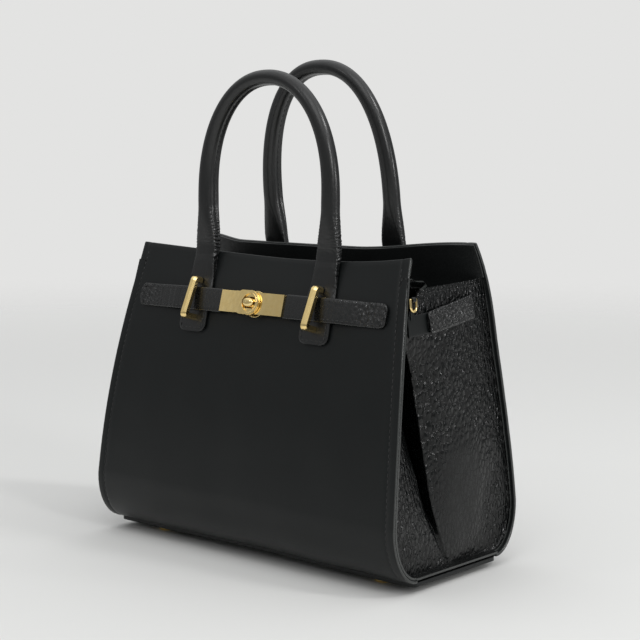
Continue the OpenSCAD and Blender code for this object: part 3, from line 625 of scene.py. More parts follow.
def makeLayer(side, word, ending, layer, toTop, materials, slotName):
    sheet = sheetPiece(word + ending, liningGrid(side, layer, toTop), layer["thickness"], materials,
                       layer["bevel"])
    fitPiece(sheet, slotName, "bag", word + "_" + ending.lower())


for side, word in ((-1, "front"), (1, "back")):
    makeLayer(side, word, "Lining", lining["cloth"], False, [twill, twill], "lining")
    makeLayer(side, word, "Facing", lining["facing"], True, [facingCalf, highlightedEdgePaint], "smooth_leather")
print("walls and linings made")

# Base

basePlate = {"halfX": 148, "halfY": 49.5, "corner": 5, "bottom": 5, "thickness": 3, "edgeRound": 0.8}
boardPlate = {"halfX": 140.4, "halfY": 46.9, "corner": 3, "bottom": 8, "thickness": 1.6, "edgeRound": 0}
floorCloth = {"halfX": 140.4, "halfY": 46.9, "corner": 3, "bottom": 10.45, "thickness": 0.8, "edgeRound": 0}
plateGrid = {"cornerColumns": 9, "middleColumns": 47, "rows": 21}


def archedPlate(name, plate, material):
    # A flat plate that follows the small arch of the bottom edges, drawn from its upper face
    r, rows = plate["corner"], []
    inner = plate["halfX"] - r
    xs = [-inner - r*math.sin(a) for a in np.linspace(math.pi/2, 0, plateGrid["cornerColumns"])]
    xs += list(np.linspace(-inner, inner, plateGrid["middleColumns"]))[1:-1] + [-x for x in reversed(xs)]
    for x in xs:
        past = max(0, abs(x) - inner)
        reach = plate["halfY"] - r + math.sqrt(max(0, r*r - past*past))
        top = plate["bottom"] + plate["thickness"] + baseArch(x)
        rows.append([(x, reach*s, top) for s in np.linspace(-1, 1, plateGrid["rows"])])
    return sheetPiece(name, np.array(rows)[:, ::-1], plate["thickness"], [material, material],
                      plate["edgeRound"])


fitPiece(archedPlate("basePlate", basePlate, smoothCalf), "smooth_leather", "bag", "base_panel")
fitPiece(archedPlate("baseBoard", boardPlate, board), "board", "bag", "base_board")
fitPiece(archedPlate("floorLining", floorCloth, twill), "lining", "bag", "base_lining")
for word in ("foot_front_left", "foot_front_right", "foot_back_left", "foot_back_right", "foot_washers"):
    dress(word, gold)
print("base made")

# Gussets

gusset = {"thickness": 1.6, "edgeRound": 0.4, "wallGap": 4.05, "flange": 6.6, "flangeBend": 1.2,
          "flangeDrop": 0.3, "frontSeamIn": 0.4, "backSeamIn": -2.4, "backBend": 1, "backFlange": 1.8,
          "top": 198, "bendRows": 10, "rows": 92,
          # rise of the top edge along the section, from the front seam to the back seam
          "topShares": [0, 0.1, 0.3, 0.45, 0.6, 0.75, 0.9, 1],
          "topRise": [9.5, 9, 6, 2.6, 0.3, 2.4, 5.3, 5.3], "topPower": 6,
          # fine creases inside the fold, and slow waves on the flat parts
          "crease": 0.55, "creaseLong": 7, "creaseFrom": 6, "wave": 0.9, "waveLong": 34, "smallWave": 0.35,
          "smallWaveLong": 13, "calmEdge": 9, "calmOver": 7, "leftSeed": 9, "rightSeed": 2,
          # the folds' corners, where the flat rear half begins, and its points as shares of the way back
          "lip": 2.2, "fillet": 2, "cornerCuts": 3, "bellyY": 6, "bellyLead": (0.2, 0.4),
          "bellyPoints": (0.25, 0.7),
          # how deep (mm inside the seam) and where (mm from the middle, minus is to the front) each fold lies
          "heights": [4, 22, 44, 68, 86, 106, 126, 144, 160, 178, 199],
          "frontLipIn": [0.2, 1, 4, 9, 14, 18, 21, 23, 20, 14, 4.5],
          "frontLipY": [-5, -16, -24.5, -26.5, -27.5, -29.5, -32, -34.5, -38, -37, -16],
          "valleyIn": [0.4, 2.5, 12, 22, 28, 34, 38, 40, 36, 25, 9],
          "valleyY": [-4, -12.5, -15, -14, -13, -13, -14, -16, -18, -14, 3],
          "backLipIn": [0, 0, 1.5, 4, 5.5, 6.5, 7, 6, 2.5, -1, -2.5],
          "backLipY": [-2.5, -10, -18, -21, -22.5, -24.5, -27, -30.5, -38, -39, -20.5],
          "bellyIn": [0, -1, -2.5, -3.5, -3.5, -3.5, -3.5, -3.5, -4, -4, -2],
          "frontBulge": [0, -1, -2, -2.5, -2.5, -2, -2, -1, 0, 0, 0]}


def gussetAt(key, z):
    # A value of the tables above, on a smooth curve through their points
    heights, v = gusset["heights"], gusset[key]
    i = int(np.clip(np.searchsorted(heights, z) - 1, 0, len(heights) - 2))
    span = heights[i + 1] - heights[i]
    t = (z - heights[i])/span
    slopes = []
    for k in (i, i + 1):
        before, after = max(k - 1, 0), min(k + 1, len(v) - 1)
        slopes.append((v[after] - v[before])/(heights[after] - heights[before]))
    return ((2*t**3 - 3*t**2 + 1)*v[i] + (t**3 - 2*t**2 + t)*span*slopes[0]
            + (-2*t**3 + 3*t**2)*v[i + 1] + (t**3 - t**2)*span*slopes[1])


def toward(a, b, reach):
    # A point on the way from a to b, short of their middle
    a, b = np.array(a, float), np.array(b, float)
    d = b - a
    return a + d*min(0.45, reach/(np.linalg.norm(d) + 1e-9))


def gussetSection(y, z):
    # (inwards, y) points of one row from the front edge to the back edge
    frontLip = (gussetAt("frontLipIn", z), gussetAt("frontLipY", z))
    valley = (gussetAt("valleyIn", z), gussetAt("valleyY", z))
    backLip = (gussetAt("backLipIn", z), gussetAt("backLipY", z))
    belly, start = gussetAt("bellyIn", z), gusset["bellyY"]
    back = y + sway(1, halfWidth(z), z)
    frontSeam, backSeam = (gusset["frontSeamIn"], -y), (gusset["backSeamIn"], back)
    frontMid = (frontLip[0]/2 + gussetAt("frontBulge", z), (frontLip[1] - y)/2)
    leadIn, leadAcross = gusset["bellyLead"]
    lead = (between(belly, backLip[0], leadIn), between(start, backLip[1], leadAcross))
    flat = [(belly, between(start, back, share)) for share in gusset["bellyPoints"]]
    lip, fillet = gusset["lip"], gusset["fillet"]
    points = [(-gusset["flange"], -y), (-gusset["flangeBend"], -y),
              frontSeam, toward(frontSeam, frontMid, fillet), frontMid,
              toward(frontLip, frontMid, lip), frontLip, toward(frontLip, valley, lip),
              toward(valley, frontLip, fillet), valley, toward(valley, backLip, fillet),
              toward(backLip, valley, lip), backLip, toward(backLip, (belly, start), lip),
              lead, *flat, toward(backSeam, (belly, back - start), fillet), backSeam,
              (backSeam[0] - gusset["backBend"], back), (backSeam[0] - gusset["backFlange"], back)]
    return rounded(points, gusset["cornerCuts"])


def gussetGrid(left):
    seed = gusset["leftSeed"] if left else gusset["rightSeed"]
    top, low, count = gusset["top"], bag["bendHeight"], gusset["rows"] - 1
    walls = [bendPoint(math.pi/2*i/gusset["bendRows"]) for i in range(gusset["bendRows"] + 1)]
    walls += [leanPoint(low + (top - low)*i/count) for i in range(1, count + 1)]
    rows = []
    for depth, height, n in walls:
        # The gusset is hung between the walls, just inside them
        y, z = depth - gusset["wallGap"]*n[0], height - gusset["wallGap"]*n[1]
        section = gussetSection(y, z)
        row = []
        for place, (inwards, across) in enumerate(section):
            share = place/(len(section) - 1)
            rise = float(np.interp(share, gusset["topShares"], gusset["topRise"]))*(z/top)**gusset["topPower"]
            folded = ease(inwards/gusset["creaseFrom"])
            crease = gusset["crease"]*folded*ripple(across, inwards, z, gusset["creaseLong"], seed)
            calm = 1 - ease((abs(across) - (y - gusset["calmEdge"]))/gusset["calmOver"])
            wave = (gusset["wave"]*ripple(across, 0, z, gusset["waveLong"], seed)
                    + gusset["smallWave"]*ripple(across, 5, z, gusset["smallWaveLong"], seed))
            x = halfWidth(z) - seam["inset"] - inwards + crease + wave*calm*(1 - folded)
            row.append((x, across, z + rise + bag["lift"]))
        rows.append(row)
    # The turned-out flange along the bottom
    flangeX = halfWidth(0) - seam["inset"] + gusset["flange"]
    grid = np.array([[(flangeX, p[1], rows[0][0][2] - gusset["flangeDrop"]) for p in rows[0]]] + rows)
    return mirrored(grid)[:, ::-1] if left else grid


# Where the side strap comes out of the gusset
slot = {"y": 34.85, "z": 182.5, "wide": 6.1, "high": 16}


def inSlot(p):
    return abs(p[1] - slot["y"]) < slot["wide"]/2 and abs(p[2] - bag["lift"] - slot["z"]) < slot["high"]/2


for left, word in ((False, "right"), (True, "left")):
    sheet = sheetPiece(word + "Gusset", gussetGrid(left), gusset["thickness"], [pebbledCalf, highlightedEdgePaint],
                       gusset["edgeRound"], sharp=75, hole=inSlot)
    fitPiece(sheet, "grained_leather", "bag", word + "_gusset")
print("gussets made")

# Handles with their patches

handle = {"patchWide": 13.5, "patchThick": 1.35, "patchZ": 156, "patchCorner": 6, "patchRows": 84,
          "rowCrowd": 0.9, "patchBoxy": 5.0, "gap": 0.06, "rootThick": 3.2, "rootOut": 2.9, "rootGap": 5,
          "rootBoxy": 3.8, "gripR": 5.5, "gripBoxy": 2.0, "cordR": 3.4, "cordSides": 16, "sides": 60,
          "legRows": 80, "archRows": 36,
          # how far below or above the root each change of section starts, and how long it takes
          "thickenFrom": -22, "thickenOver": 17, "narrowFrom": -36, "narrowOver": 34, "seamFrom": -30,
          "seamOver": 20, "roundFrom": -8, "roundOver": 50, "flatOver": 36, "spreadOver": 40,
          "smoothFrom": 60, "smoothTo": 126, "passes": 60, "bendFrom": -9, "bendTo": 14, "cordFrom": 12,
          "threadFrom": 26,
          "front": {"crease": 0.42, "rootZ": 215.756, "rise": 128.5, "arch": 83.0, "power": 2.12,
                    "lean": 0, "legX": 60.5, "spread": 0.8, "rootWide": 10.2, "legR": 7.3},
          "back": {"crease": 0.1, "rootZ": 220.756, "rise": 134.5, "arch": 99.5, "power": 2.24,
                   "lean": 6.9, "legX": 59.3, "spread": 0.8, "rootWide": 10.2, "legR": 7.0}}
# The sewn edges along the inner side of the roll: angles round the section in radians, heights in mm
rollSeam = {"turn": math.radians(135), "high": 2.0, "rootHigh": 1.0, "half": 0.27, "dipAt": 0.45,
            "dipHalf": 0.15, "dipShare": 0.3, "threadAt": 0.4}
# Cross creases where the stiff roll turns flat
creases = {"apart": 2.4, "reach": 20, "above": 3, "bend": 8, "bendLong": 6, "fineLong": 3, "sink": 0.4,
           "flatShare": 0.12, "least": 0.02}
patchThread = {"inset": 2.6, "long": 44, "corner": 3}


def onWall(side, x, z, out):
    # A point over the outside of a wall, and the wall's outward direction there
    n = np.array([1, lean(z)])/math.hypot(1, lean(z))
    y = halfDepth(z) + sway(side, x, z)
    return (x, side*(y + n[0]*out), z + n[1]*out + bag["lift"]), (0, side*n[0], n[1])


def rollPoint(turn, wide, thick, power, high):
    # Section of a handle: a roll whose two edges are sewn together in a thick seam on its inner side
    c, s = math.cos(turn), math.sin(turn)
    mid = rollSeam["turn"]
    away = abs((turn - mid + math.pi) % (2*math.pi) - math.pi)
    lift = high*(math.exp(-(away/rollSeam["half"])**4)
                 - rollSeam["dipShare"]*math.exp(-((away - rollSeam["dipAt"])/rollSeam["dipHalf"])**2))
    return (wide*math.copysign(abs(c)**(2/power), c) + lift*math.cos(mid),
            thick*math.copysign(abs(s)**(2/power), s) + lift*math.sin(mid))


def handlePath(side, shape):
    # Half of the handle, from its patch's lower end up to the top of the arch, for x > 0: the points of its
    # middle line, and the half width, half thickness, squareness and seam height at each
    points, sizes = [], []
    h, rootZ, legX, slant = handle, shape["rootZ"], shape["legX"], math.radians(shape["lean"])
    for i in range(h["patchRows"]):
        z = between(h["patchZ"], rootZ - h["rootGap"], (i/(h["patchRows"] - 1))**h["rowCrowd"])
        above = z - rootZ
        thicker = ease((above - h["thickenFrom"])/h["thickenOver"])
        thick = between(h["patchThick"], h["rootThick"], thicker)
        past = max(0, h["patchCorner"] - (z - h["patchZ"]))
        wide = (between(h["patchWide"], shape["rootWide"], ease((above - h["narrowFrom"])/h["narrowOver"]))
                - h["patchCorner"] + math.sqrt(max(0.02, h["patchCorner"]**2 - past**2)))
        points.append(onWall(side, legX, z, thick + h["gap"])[0])
        sizes.append((wide, thick, between(h["patchBoxy"], h["rootBoxy"], thicker),
                      rollSeam["rootHigh"]*ease((above - h["seamFrom"])/h["seamOver"])))
    straight = shape["rise"] - shape["arch"]
    line = [(legX + shape["spread"]*ease(z/h["spreadOver"]), z)
            for z in straight*np.arange(1, h["legRows"] + 1)/h["legRows"]]
    for a in np.linspace(0, math.pi/2, h["archRows"])[1:]:
        line.append(((legX + shape["spread"])*max(0, math.cos(a))**(2/shape["power"]),
                     straight + shape["arch"]*math.sin(a)**(2/shape["power"])))
    line[-1] = (0, shape["rise"])
    rootY = halfDepth(rootZ) + sway(side, legX, rootZ) + h["rootOut"]
    for x, z in line:
        t = ease(z/h["flatOver"])
        radius = between(shape["legR"], h["gripR"], min(1, z/shape["rise"]))
        points.append((x, side*(rootY - z*math.sin(slant)), rootZ + z*math.cos(slant) + bag["lift"]))
        thick = between(h["rootThick"], radius, ease((z - h["roundFrom"])/h["roundOver"]))
        sizes.append((between(shape["rootWide"], radius, t), thick, between(h["rootBoxy"], h["gripBoxy"], t),
                      between(rollSeam["rootHigh"], rollSeam["high"], t)))
    points = np.array(points)
    a, b = h["smoothFrom"], h["smoothTo"]
    for _ in range(h["passes"]):
        points[a:b] = points[a:b]*0.5 + (points[a - 1:b - 1] + points[a + 1:b + 1])*0.25
    return points, sizes


def crumple(piece, side, rootZ, deep):
    # Presses the cross creases in, deepest along the roll's edges
    mesh = piece.data
    places, normals = np.zeros(len(mesh.vertices)*3), np.zeros(len(mesh.vertices)*3)
    mesh.vertices.foreach_get("co", places)
    mesh.vertex_normals.foreach_get("vector", normals)
    places, normals = places.reshape(-1, 3)/mm, normals.reshape(-1, 3)
    for i, (p, n) in enumerate(zip(places, normals)):
        near = math.exp(-((p[2] - rootZ - creases["above"])/creases["reach"])**2)
        if near > creases["least"]:
            bend = creases["bend"]*ripple(*p, creases["bendLong"], side)
            wave = math.sin(2*math.pi*p[2]/creases["apart"] + bend) + ripple(*p, creases["fineLong"], side)
            share = between(creases["flatShare"], 1, n[0]**2)
            places[i] += n*near*deep*share*(wave - creases["sink"])
    mesh.vertices.foreach_set("co", (places*mm).ravel())
    mesh.update()


def makeHandle(side):
    word = "front" if side < 0 else "back"
    shape, rootZ = handle[word], handle[word]["rootZ"] + bag["lift"]
    half, sizes = handlePath(side, shape)
    path = np.concatenate([half, mirrored(half[:-1])[::-1]])
    sizes = sizes + sizes[:-1][::-1]
    # The section's width lies in the plane of the arch
    path, across, up = sweepFrames(path, np.cross(np.gradient(path, axis=0), [(0, -1.0, 0)]*len(path)))
    turns = [2*math.pi*k/handle["sides"] for k in range(handle["sides"])]
    sections = [np.array([rollPoint(turn, *size) for turn in turns]) for size in sizes]
    piece = sweepPiece(word + "Handle", path, across, sections, [rolledCalf], sharp=60)
    crumple(piece, side, rootZ, shape["crease"])
    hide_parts(word + "_handle", word + "_left_patch", word + "_right_patch")
    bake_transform(piece)
    # The cord inside the roll
    keep = [i for i in range(len(path)) if path[i][2] > rootZ + handle["cordFrom"]]
    ring = oval(handle["cordR"], handle["cordR"], 2, handle["cordSides"])
    core = sweepPiece(word + "HandleCord", path[keep], across[keep], [ring]*len(keep), [cord], sharp=60)
    fitPiece(core, "cord", word + "_handle", word + "_handle_core")
    # Stitches on both sides of the seam
    grip, tabs = [], []
    keep = [i for i in range(len(path)) if path[i][2] > rootZ + handle["threadFrom"]]
    for turn in (rollSeam["turn"] - rollSeam["threadAt"], rollSeam["turn"] + rollSeam["threadAt"]):
        line, normals = [], []
        for i in keep:
            u, v = rollPoint(turn, *sizes[i])
            line.append(path[i] + across[i]*u + up[i]*v)
            normals.append(across[i]*math.cos(turn) + up[i]*math.sin(turn))
        grip.append((line, normals))
    # Stitches round each patch, open at its top
    r, low = patchThread["corner"], handle["patchZ"] + patchThread["inset"]
    inset, top = handle["patchWide"] - patchThread["inset"], handle["patchZ"] + patchThread["long"]
    for x in (-shape["legX"], shape["legX"]):
        corners = [(x - inset, top), (x - inset, low + r), (x - inset, low), (x - inset + r, low),
                   (x + inset - r, low), (x + inset, low), (x + inset, low + r), (x + inset, top)]
        line = [onWall(side, u, v, 2*handle["patchThick"] + handle["gap"]) for u, v in rounded(corners, 2)]
        tabs.append(([p for p, n in line], [n for p, n in line]))
    stitchRun(word + "HandleStitches", grip, word + "_handle")
    stitchRun(word + "PatchStitches", tabs, "bag")


makeHandle(-1)
makeHandle(1)

wallThread = {"low": 12, "high": 214, "points": 60, "sunk": 0.35}
seams = []
for side in (-1, 1):
    for end in (-1, 1):
        line = [onWall(side, end*(halfWidth(z) - seam["inset"]), z, -wallThread["sunk"])
                for z in np.linspace(wallThread["low"], wallThread["high"], wallThread["points"])]
        seams.append(([p for p, n in line], [n for p, n in line]))
stitchRun("sideSeamStitches", seams, "bag")
print("handles made")

# Belt and lock

belt = {"height": 180, "wide": 8.75, "thick": 1.1, "end": 122, "corner": 5, "tongueWide": 6.8,
        "tongueEnd": 31, "plateTip": 21.7, "tongueColumns": [26, 30.5, 31.5, 34, 38, 42, 44, 46, 48, 50],
        "columnFrom": 52, "columnStep": 0.8, "cornerColumns": 7, "squareness": 6, "sides": 28,
        # over the patches it lies "high" off the panel, and from "dropFrom" on it comes down to "low"
        "high": 2.9, "low": 0.15, "dropFrom": 73.5, "dropOver": 33, "crinkle": 0.6, "crinkleLong": 1.9,
        "crinkleFrom": 66, "crinkleOver": 12,
        # where the tongue bends, and where its stitches run
        "bendFrom": 49, "bendTo": 42, "bendOut": 5.1, "threadInset": 2.1, "threadFrom": 66,
        "threadEnd": 2.4, "threadCorner": 3, "threadRound": 0.9, "threadStep": 1.0, "threadTurn": 6}
beltTilt = math.atan(lean(belt["height"]))
beltAlong = np.array([1.0, 0, 0])
beltUp = np.array([0, math.sin(beltTilt), math.cos(beltTilt)])
beltOut = np.array([0, -math.cos(beltTilt), math.sin(beltTilt)])
beltOrigin = np.array([0, -halfDepth(belt["height"]), belt["height"] + bag["lift"]])


def onBelt(points):
    # (x, up the panel, out from the panel) to the bag's place
    points = np.asarray(points, float)
    return beltOrigin + points[..., :1]*beltAlong + points[..., 1:2]*beltUp + points[..., 2:3]*beltOut


def beltMiddle(x):
    # How far out the middle of the belt's thickness lies
    free = ease((abs(x) - belt["crinkleFrom"])/belt["crinkleOver"])
    crinkle = belt["crinkle"]*ripple(x, 0, 0, belt["crinkleLong"], 3)*free
    down = ease((abs(x) - belt["dropFrom"])/belt["dropOver"])
    return between(belt["high"], belt["low"], down) + belt["thick"] + crinkle


def makeBelt(left):
    word, sign = ("left", -1) if left else ("right", 1)
    corner, tip = belt["corner"], belt["end"] - belt["corner"]
    xs = [belt["plateTip"]] + belt["tongueColumns"]
    xs += list(np.arange(belt["columnFrom"], tip - 0.5, belt["columnStep"]))
    xs += [tip + corner*math.sin(a) for a in np.linspace(0, math.pi/2*0.96, belt["cornerColumns"])]
    rings = []
    for x in xs:
        wide = belt["wide"] if x > belt["tongueEnd"] else belt["tongueWide"]
        past = max(0, x - tip)
        rings.append(oval(wide - corner + math.sqrt(max(0.05, corner**2 - past*past)), belt["thick"],
                          belt["squareness"], belt["sides"]))
    path = onBelt([(sign*x, 0, beltMiddle(x)) for x in xs])
    if left:
        path, rings = path[::-1], rings[::-1]
    piece = sweepPiece(word + "Belt", path, [tuple(beltUp)]*len(path), rings, [beltCalf], sharp=70)
    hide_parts("belt_" + word, "belt_" + word + "_tongue")
    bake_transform(piece)
    # Stitches along both edges and round the end
    v, tip = belt["wide"] - belt["threadInset"], belt["end"] - belt["threadEnd"]
    r, cut = belt["threadCorner"], belt["threadRound"]
    first, step = belt["threadFrom"], belt["threadStep"]
    around = [(x, v) for x in np.arange(first, tip - r, step)] + [(tip - cut, v - cut)]
    around += [(tip, u) for u in np.linspace(v - r, r - v, belt["threadTurn"])] + [(tip - cut, cut - v)]
    around += [(x, -v) for x in np.arange(tip - r, first, -step)]
    line = onBelt([(sign*x, u, beltMiddle(x) + belt["thick"]) for x, u in around])
    stitchRun(word + "BeltStitches", [(line, [tuple(beltOut)]*len(line))], "bag")


makeBelt(True)
makeBelt(False)


bridge = {"x": 60, "wide": 3.0, "thick": 2.2, "chamfer": 1.7, "chamferDeep": 0.8, "edgeRound": 0.35,
          "edgeAngle": 28, "legV": 14.3, "topOut": 8.3, "bottomOut": 13.1, "seatOut": 2.2, "corner": 4.2}


def makeBridge(left):
    # A cast staple over the belt: flat face, chamfered sides, rounded corners
    word, sign = ("left", -1) if left else ("right", 1)
    v, r, top, bottom, seat = (bridge[key] for key in ("legV", "corner", "topOut", "bottomOut", "seatOut"))
    slope = (bottom - top)/(2*v)
    line = rounded([(v, seat), (v, top - r), (v, top), (v - r, top + r*slope), (0, (top + bottom)/2),
                    (r - v, bottom - r*slope), (-v, bottom), (-v, bottom - r), (-v, seat)], 4)
    path = onBelt([(sign*bridge["x"], u, out) for u, out in line])
    w, t, c = bridge["wide"], bridge["thick"], bridge["chamfer"]
    shoulder = t - c*bridge["chamferDeep"]
    section = np.array([(-w, -t), (w, -t), (w, shoulder), (w - c, t), (c - w, t), (-w, shoulder)])
    piece = sweepPiece(word + "Bridge", path, [(1, 0, 0)]*len(path), [section]*len(path), [gold],
                       sharp=bridge["edgeAngle"])
    roundEdges(piece, bridge["edgeRound"], bridge["edgeAngle"])
    settle(piece)
    fitPiece(piece, "gold_metal", "bag", word + "_bridge")


makeBridge(True)
makeBridge(False)


plates = {"plateRound": 0.45, "baseRound": 0.3, "edgeAngle": 32, "flatAngle": 1, "weld": 0.002}


def polished(name, node, body, width):
    # The lock's stamped plates with their edges rounded off in polishing
    mesh = nodes[node].data.copy()
    work = bmesh.new()
    work.from_mesh(mesh)
    bmesh.ops.remove_doubles(work, verts=work.verts, dist=plates["weld"]*mm)
    bmesh.ops.dissolve_limit(work, angle_limit=math.radians(plates["flatAngle"]), verts=work.verts,
                             edges=work.edges)
    work.to_mesh(mesh)
    work.free()
    mesh.materials.clear()
    mesh.materials.append(gold)
    piece = bpy.data.objects.new(name, mesh)
    bpy.context.scene.collection.objects.link(piece)
    roundEdges(piece, width, plates["edgeAngle"])
    settle(piece)
    fitPiece(piece, "gold_metal", body, node)


polished("leftPlate", "clasp_plate_left", "left_clasp", plates["plateRound"])
polished("rightPlate", "clasp_plate_right", "right_clasp", plates["plateRound"])
polished("lockBase", "lock_base", "bag", plates["baseRound"])


boss = {"low": 7.8, "top": 8.7, "endR": 8.9, "left": 10.6, "squareness": 14, "holeR": 6.5, "rimR": 7.4,
        "rimTop": 9.2, "edgeRound": 0.28, "sides": 64}


def makeBoss():
    # The raised face round the knob: straight on its left, round on its right, with a turned rim in it
    turns = [2*math.pi*k/boss["sides"] for k in range(boss["sides"])]
    unit = np.array([(math.cos(a), math.sin(a)) for a in turns])
    power, reach = boss["squareness"], []
    for c, s in unit:
        left = ((-c/boss["left"])**power + (abs(s)/boss["endR"])**power)**(-1/power)
        reach.append(boss["endR"] if c >= 0 else left)
    outer = unit*np.array(reach)[:, None]
    rim, hole = unit*boss["rimR"], unit*boss["holeR"]
    levels = [(outer, boss["low"]), (outer, boss["top"]), (rim, boss["top"]), (rim, boss["rimTop"]),
              (hole, boss["rimTop"]), (hole, boss["low"])]
    points = np.concatenate([np.column_stack([xy, np.full(len(unit), out)]) for xy, out in levels])
    # The last level is joined to the first, which closes the ring
    count, last = len(unit), (len(levels) - 1)*len(unit)
    faces = gridFaces(len(levels), count, closed=True)
    faces += [(last + k, last + (k + 1) % count, (k + 1) % count, k) for k in range(count)]
    piece = newPiece("boss", onBelt(points), faces, [gold])
    roundEdges(piece, boss["edgeRound"], plates["edgeAngle"])
    settle(piece)
    fitPiece(piece, "gold_metal", "left_clasp", "clasp_boss")


makeBoss()


# The knob's spindle, its collar and its bar, as (out from the panel, half width, half thickness)
knob = {"squareness": 2.1, "sides": 40,
        "rings": [(1.7, 2, 2), (7.7, 2, 2), (7.75, 3.3, 3.3), (8.1, 3.5, 3.5), (8.45, 3.3, 3.3),
                  (8.5, 4.1, 2.7), (8.8, 4.7, 3.15), (9.4, 5.0, 3.35), (10.1, 4.9, 3.3),
                  (10.7, 4.4, 2.95), (11.15, 3.6, 2.3), (11.4, 2.3, 1.4), (11.5, 0.8, 0.5)]}


def makeKnob():
    path = onBelt([(0, 0, out) for out, wide, thick in knob["rings"]])
    rings = [oval(wide, thick, knob["squareness"], knob["sides"]) for out, wide, thick in knob["rings"]]
    piece = sweepPiece("turnKnob", path, [(1, 0, 0)]*len(path), rings, [gold], sharp=48)
    fitPiece(piece, "gold_metal", "turn_knob", "turn_knob")


makeKnob()
print("belt and lock made")

# Side straps

# Along the side (y), up it (v) and out from it, with y measured to the back
strap = {"z": 183, "slotY": 32.0, "length": 54.4, "slope": math.radians(9), "wide": 9.0, "endWide": 7.8,
         "thick": 1.05, "corner": 3, "squareness": 4, "sides": 36, "columns": 40, "columnFrom": 4,
         "lift": 0.3, "arch": 0.9, "archLength": 50,
         # its tail is sewn flat inside the gusset, widens there, and comes out through the slot
         "tail": [(11, 0, -5.8), (7, 0, -5.7), (3, 0, -5.6), (1.2, 0, -4.6), (1.1, 0, -2.6),
                  (0.6, 0, -0.6), (-1.2, -0.1, 1.1)],
         "flare": 2.5, "flareFrom": 4, "flareOver": 6, "threadInset": 1.9, "threadFrom": 22,
         "threadEnd": 2.2}
tab = {"front": -42.7, "back": -17.5, "v": -8.9, "slope": 0.06, "level": -30, "wide": 7.2, "thick": 0.8,
       "gap": 0.2, "squareness": 8, "sides": 28, "columns": 12}
ringLoop = {"y": -38.657, "v": 8.72, "out": 1.8, "radius": 1.45, "low": -5, "top": 7.4, "seatOut": 0.35,
            "turn": math.radians(250), "wide": 1.9, "thick": 0.42, "squareness": 4, "sides": 16, "rows": 9,
            "steps": 24}
sideX = bag["baseWidth"]/2 - sideSlope*strap["z"]
sideTilt = math.atan(sideSlope)


def sideWay(ways, left):
    # (y, v, out) directions to the bag's
    ways = np.asarray(ways, float)
    along, v, out = ways[..., 0], ways[..., 1], ways[..., 2]
    turned = np.stack([out*math.cos(sideTilt) - v*math.sin(sideTilt), along,
                       v*math.cos(sideTilt) + out*math.sin(sideTilt)], axis=-1)
    return mirrored(turned) if left else turned


def onSide(points, left):
    # (y, v, out) points to the bag's places
    return sideWay(points, left) + (-sideX if left else sideX, 0, strap["z"] + bag["lift"])


def makeStrap(left, word):
    c, s = math.cos(strap["slope"]), math.sin(strap["slope"])
    start = [(strap["slotY"] + y, v, out) for y, v, out in strap["tail"]]
    run = [(strap["slotY"] - far*c, -far*s,
            strap["thick"] + strap["lift"] + strap["arch"]*math.sin(math.pi*min(1, far/strap["archLength"])))
           for far in np.linspace(strap["columnFrom"], strap["length"], strap["columns"])]
    line = np.concatenate([rounded(start + run[:1], 2)[:-1], run])
    far = np.cumsum(np.concatenate([[0], np.linalg.norm(np.diff(line, axis=0), axis=1)]))
    halves = [between(strap["wide"], strap["endWide"], at/far[-1]) for at in far]
    rings = []
    for at, half in zip(far, halves):
        past = max(0, strap["corner"] - (far[-1] - at))
        flare = strap["flare"]*(1 - ease((at - strap["flareFrom"])/strap["flareOver"]))
        rings.append(oval(half + flare - strap["corner"] + math.sqrt(max(0.05, strap["corner"]**2 - past**2)),
                          strap["thick"], strap["squareness"], strap["sides"]))
    across = sideWay([(-s, c, 0)]*len(line), left)
    piece = sweepPiece(word + "Strap", onSide(line, left), across, rings, [beltCalf], sharp=70)
    fitPiece(piece, "grained_leather", "bag", word + "_side_strap")
    # Stitches along the strap's upper edge, over its end and back
    kept = [i for i, at in enumerate(far) if strap["threadFrom"] < at < far[-1] - strap["threadEnd"]]
    edge = [(line[i], halves[i] - strap["threadInset"]) for i in kept]
    top = [p + (-s*half, c*half, strap["thick"]) for p, half in edge]
    low = [p - (-s*half, c*half, -strap["thick"]) for p, half in edge]
    around = onSide(top + low[::-1], left)
    stitchRun(word + "StrapStitches", [(around, [tuple(sideWay((0, 0, 1), left))]*len(around))], "bag")


def makeTab(left, word):
    # The smooth tab under the strap's end
    line = [(y, tab["v"] + tab["slope"]*(y - tab["level"]), -tab["thick"] - tab["gap"])
            for y in np.linspace(tab["front"], tab["back"], tab["columns"])]
    ring = oval(tab["wide"], tab["thick"], tab["squareness"], tab["sides"])
    across = sideWay([(0, 1, 0)]*len(line), left)
    piece = sweepPiece(word + "Tab", onSide(line, left), across, [ring]*len(line), [smoothCalf], sharp=70)
    fitPiece(piece, "smooth_leather", "bag", word + "_strap_tab")


def makeRingLoop(left, word):
    # A narrow strip, sewn to the tab, that goes round the ring's bar
    line = [(ringLoop["y"], v, ringLoop["seatOut"])
            for v in np.linspace(ringLoop["low"], ringLoop["top"], ringLoop["rows"])]
    r = ringLoop["radius"]
    line += [(ringLoop["y"], ringLoop["v"] + r*math.cos(a), ringLoop["out"] + r*math.sin(a))
             for a in np.linspace(-math.pi/2, ringLoop["turn"], ringLoop["steps"])]
    ring = oval(ringLoop["wide"], ringLoop["thick"], ringLoop["squareness"], ringLoop["sides"])
    piece = sweepPiece(word + "RingLoop", onSide(line, left), [(0, 1, 0)]*len(line), [ring]*len(line),
                       [smoothCalf], sharp=70)
    fitPiece(piece, "smooth_leather", "bag", word + "_ring_loop")


for left, word in ((False, "right"), (True, "left")):
    makeStrap(left, word)
    makeTab(left, word)
    makeRingLoop(left, word)
for word in ("left_ring", "right_ring"):
    dress(word, gold)

